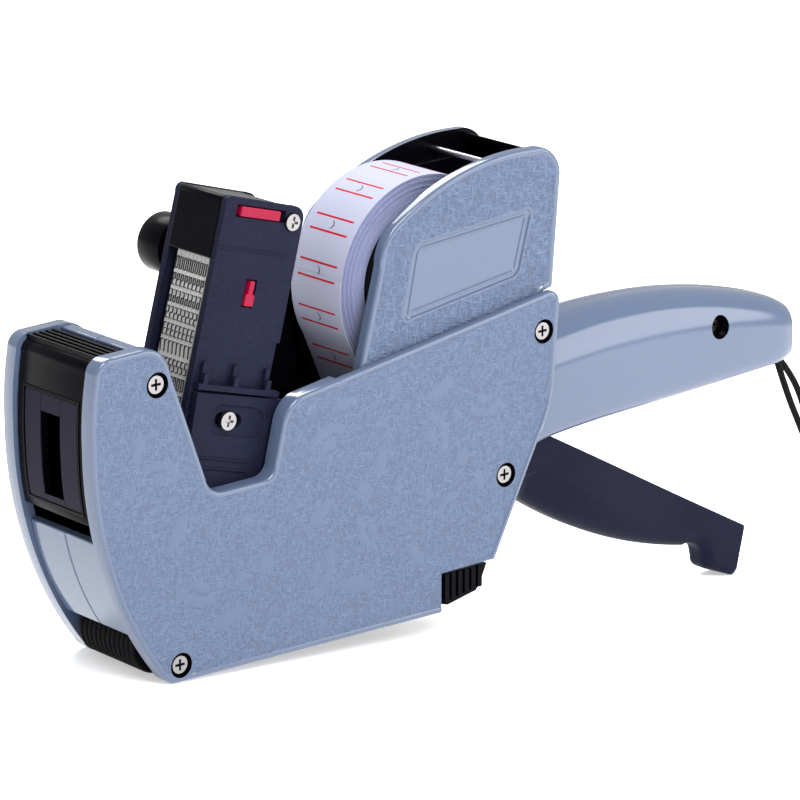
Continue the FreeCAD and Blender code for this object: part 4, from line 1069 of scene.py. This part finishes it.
def cross_shadows(name, centres, face):
    """Dark crosses at the bottom of the screws' drives; face is where the heads end."""
    vertices, faces = [], []
    for x, z in centres:
        for wide, tall in ((CROSS_REACH, CROSS_HALF), (CROSS_HALF, CROSS_REACH)):
            faces += box_faces(len(vertices))
            vertices += [row(px, pz, y) for y in (face + CROSS_SUNK, face + CROSS_DEEP)
                         for px, pz in rectangle(x - wide, z - tall, x + wide, z + tall)]
    made = add_object(name, vertices, faces, ["black_gloss"], smooth=False)
    fit(made, "frame")


cross_shadows("case_crosses", SCREWS, -18.8)
cross_shadows("handle_cross", [HANDLE_SCREW], -7.4)

# ---------------------------------------------------------------- pieces kept from the CAD

EDGES = {
    "ink_cover": 0.35, "setting_knob": 0.4, "head_plate_left": 0.3,
    "head_plate_right": 0.3, "head_cap": 0.35, "roll_cheek_left": 0.5, "roll_cheek_right": 0.5,
    "cover_spine": 0.4, "bottom_cover": 0.3, "latch_left": 0.3, "latch_right": 0.3,
    "lock_bar": 0.3, "red_key": 0.25, "lever_arm_left": 0.4, "lever_arm_right": 0.4,
    "label_platen": 0.3, "ink_arm": 0.3, "case_screws": 0.12, "head_screws": 0.12}
slot_of = {part["node"]: part["material_slot"] for part in frame["record"]["subparts"]}
for label, made in frame["nodes"].items():
    made.data.materials.clear()
    made.data.materials.append(LOOKS[slot_of[label]])
    if label in EDGES:
        soften(made, EDGES[label], weld=True)

# ---------------------------------------------------------------- floor and light

floor_material = surface("floor", (0.95, 0.95, 0.96), 0.7, 60.0, 0.02, 0.01, glow=0.45)
bpy.ops.mesh.primitive_plane_add(size=6.0, location=(0.0, 0.0, -0.0002))
floor = bpy.context.object
floor.name = "floor"
floor.data.materials.append(floor_material)


MIDDLE = (0, 0, 0.06)


def lamp(name, place, size, power):
    """A round lamp aimed at the middle of the gun."""
    light = bpy.data.lights.new(name, "AREA")
    light.shape = "DISK"
    light.size = size
    light.energy = power
    made = bpy.data.objects.new(name, light)
    bpy.context.scene.collection.objects.link(made)
    made.location = place
    made.rotation_euler = (Vector(MIDDLE) - Vector(place)).to_track_quat("-Z", "Y").to_euler()


lamp("key", (-0.30, -0.85, 0.95), 0.7, 16.0)
lamp("fill", (0.70, -0.80, 0.45), 0.8, 6.0)
lamp("back", (0.15, 0.75, 1.10), 0.8, 14.0)
world = bpy.data.worlds.new("studio")
world.use_nodes = True
background = world.node_tree.nodes["Background"]
background.inputs["Color"].default_value = (1.0, 1.0, 1.0, 1.0)
background.inputs["Strength"].default_value = 0.62
bpy.context.scene.world = world
bpy.context.scene.view_settings.view_transform = "Standard"
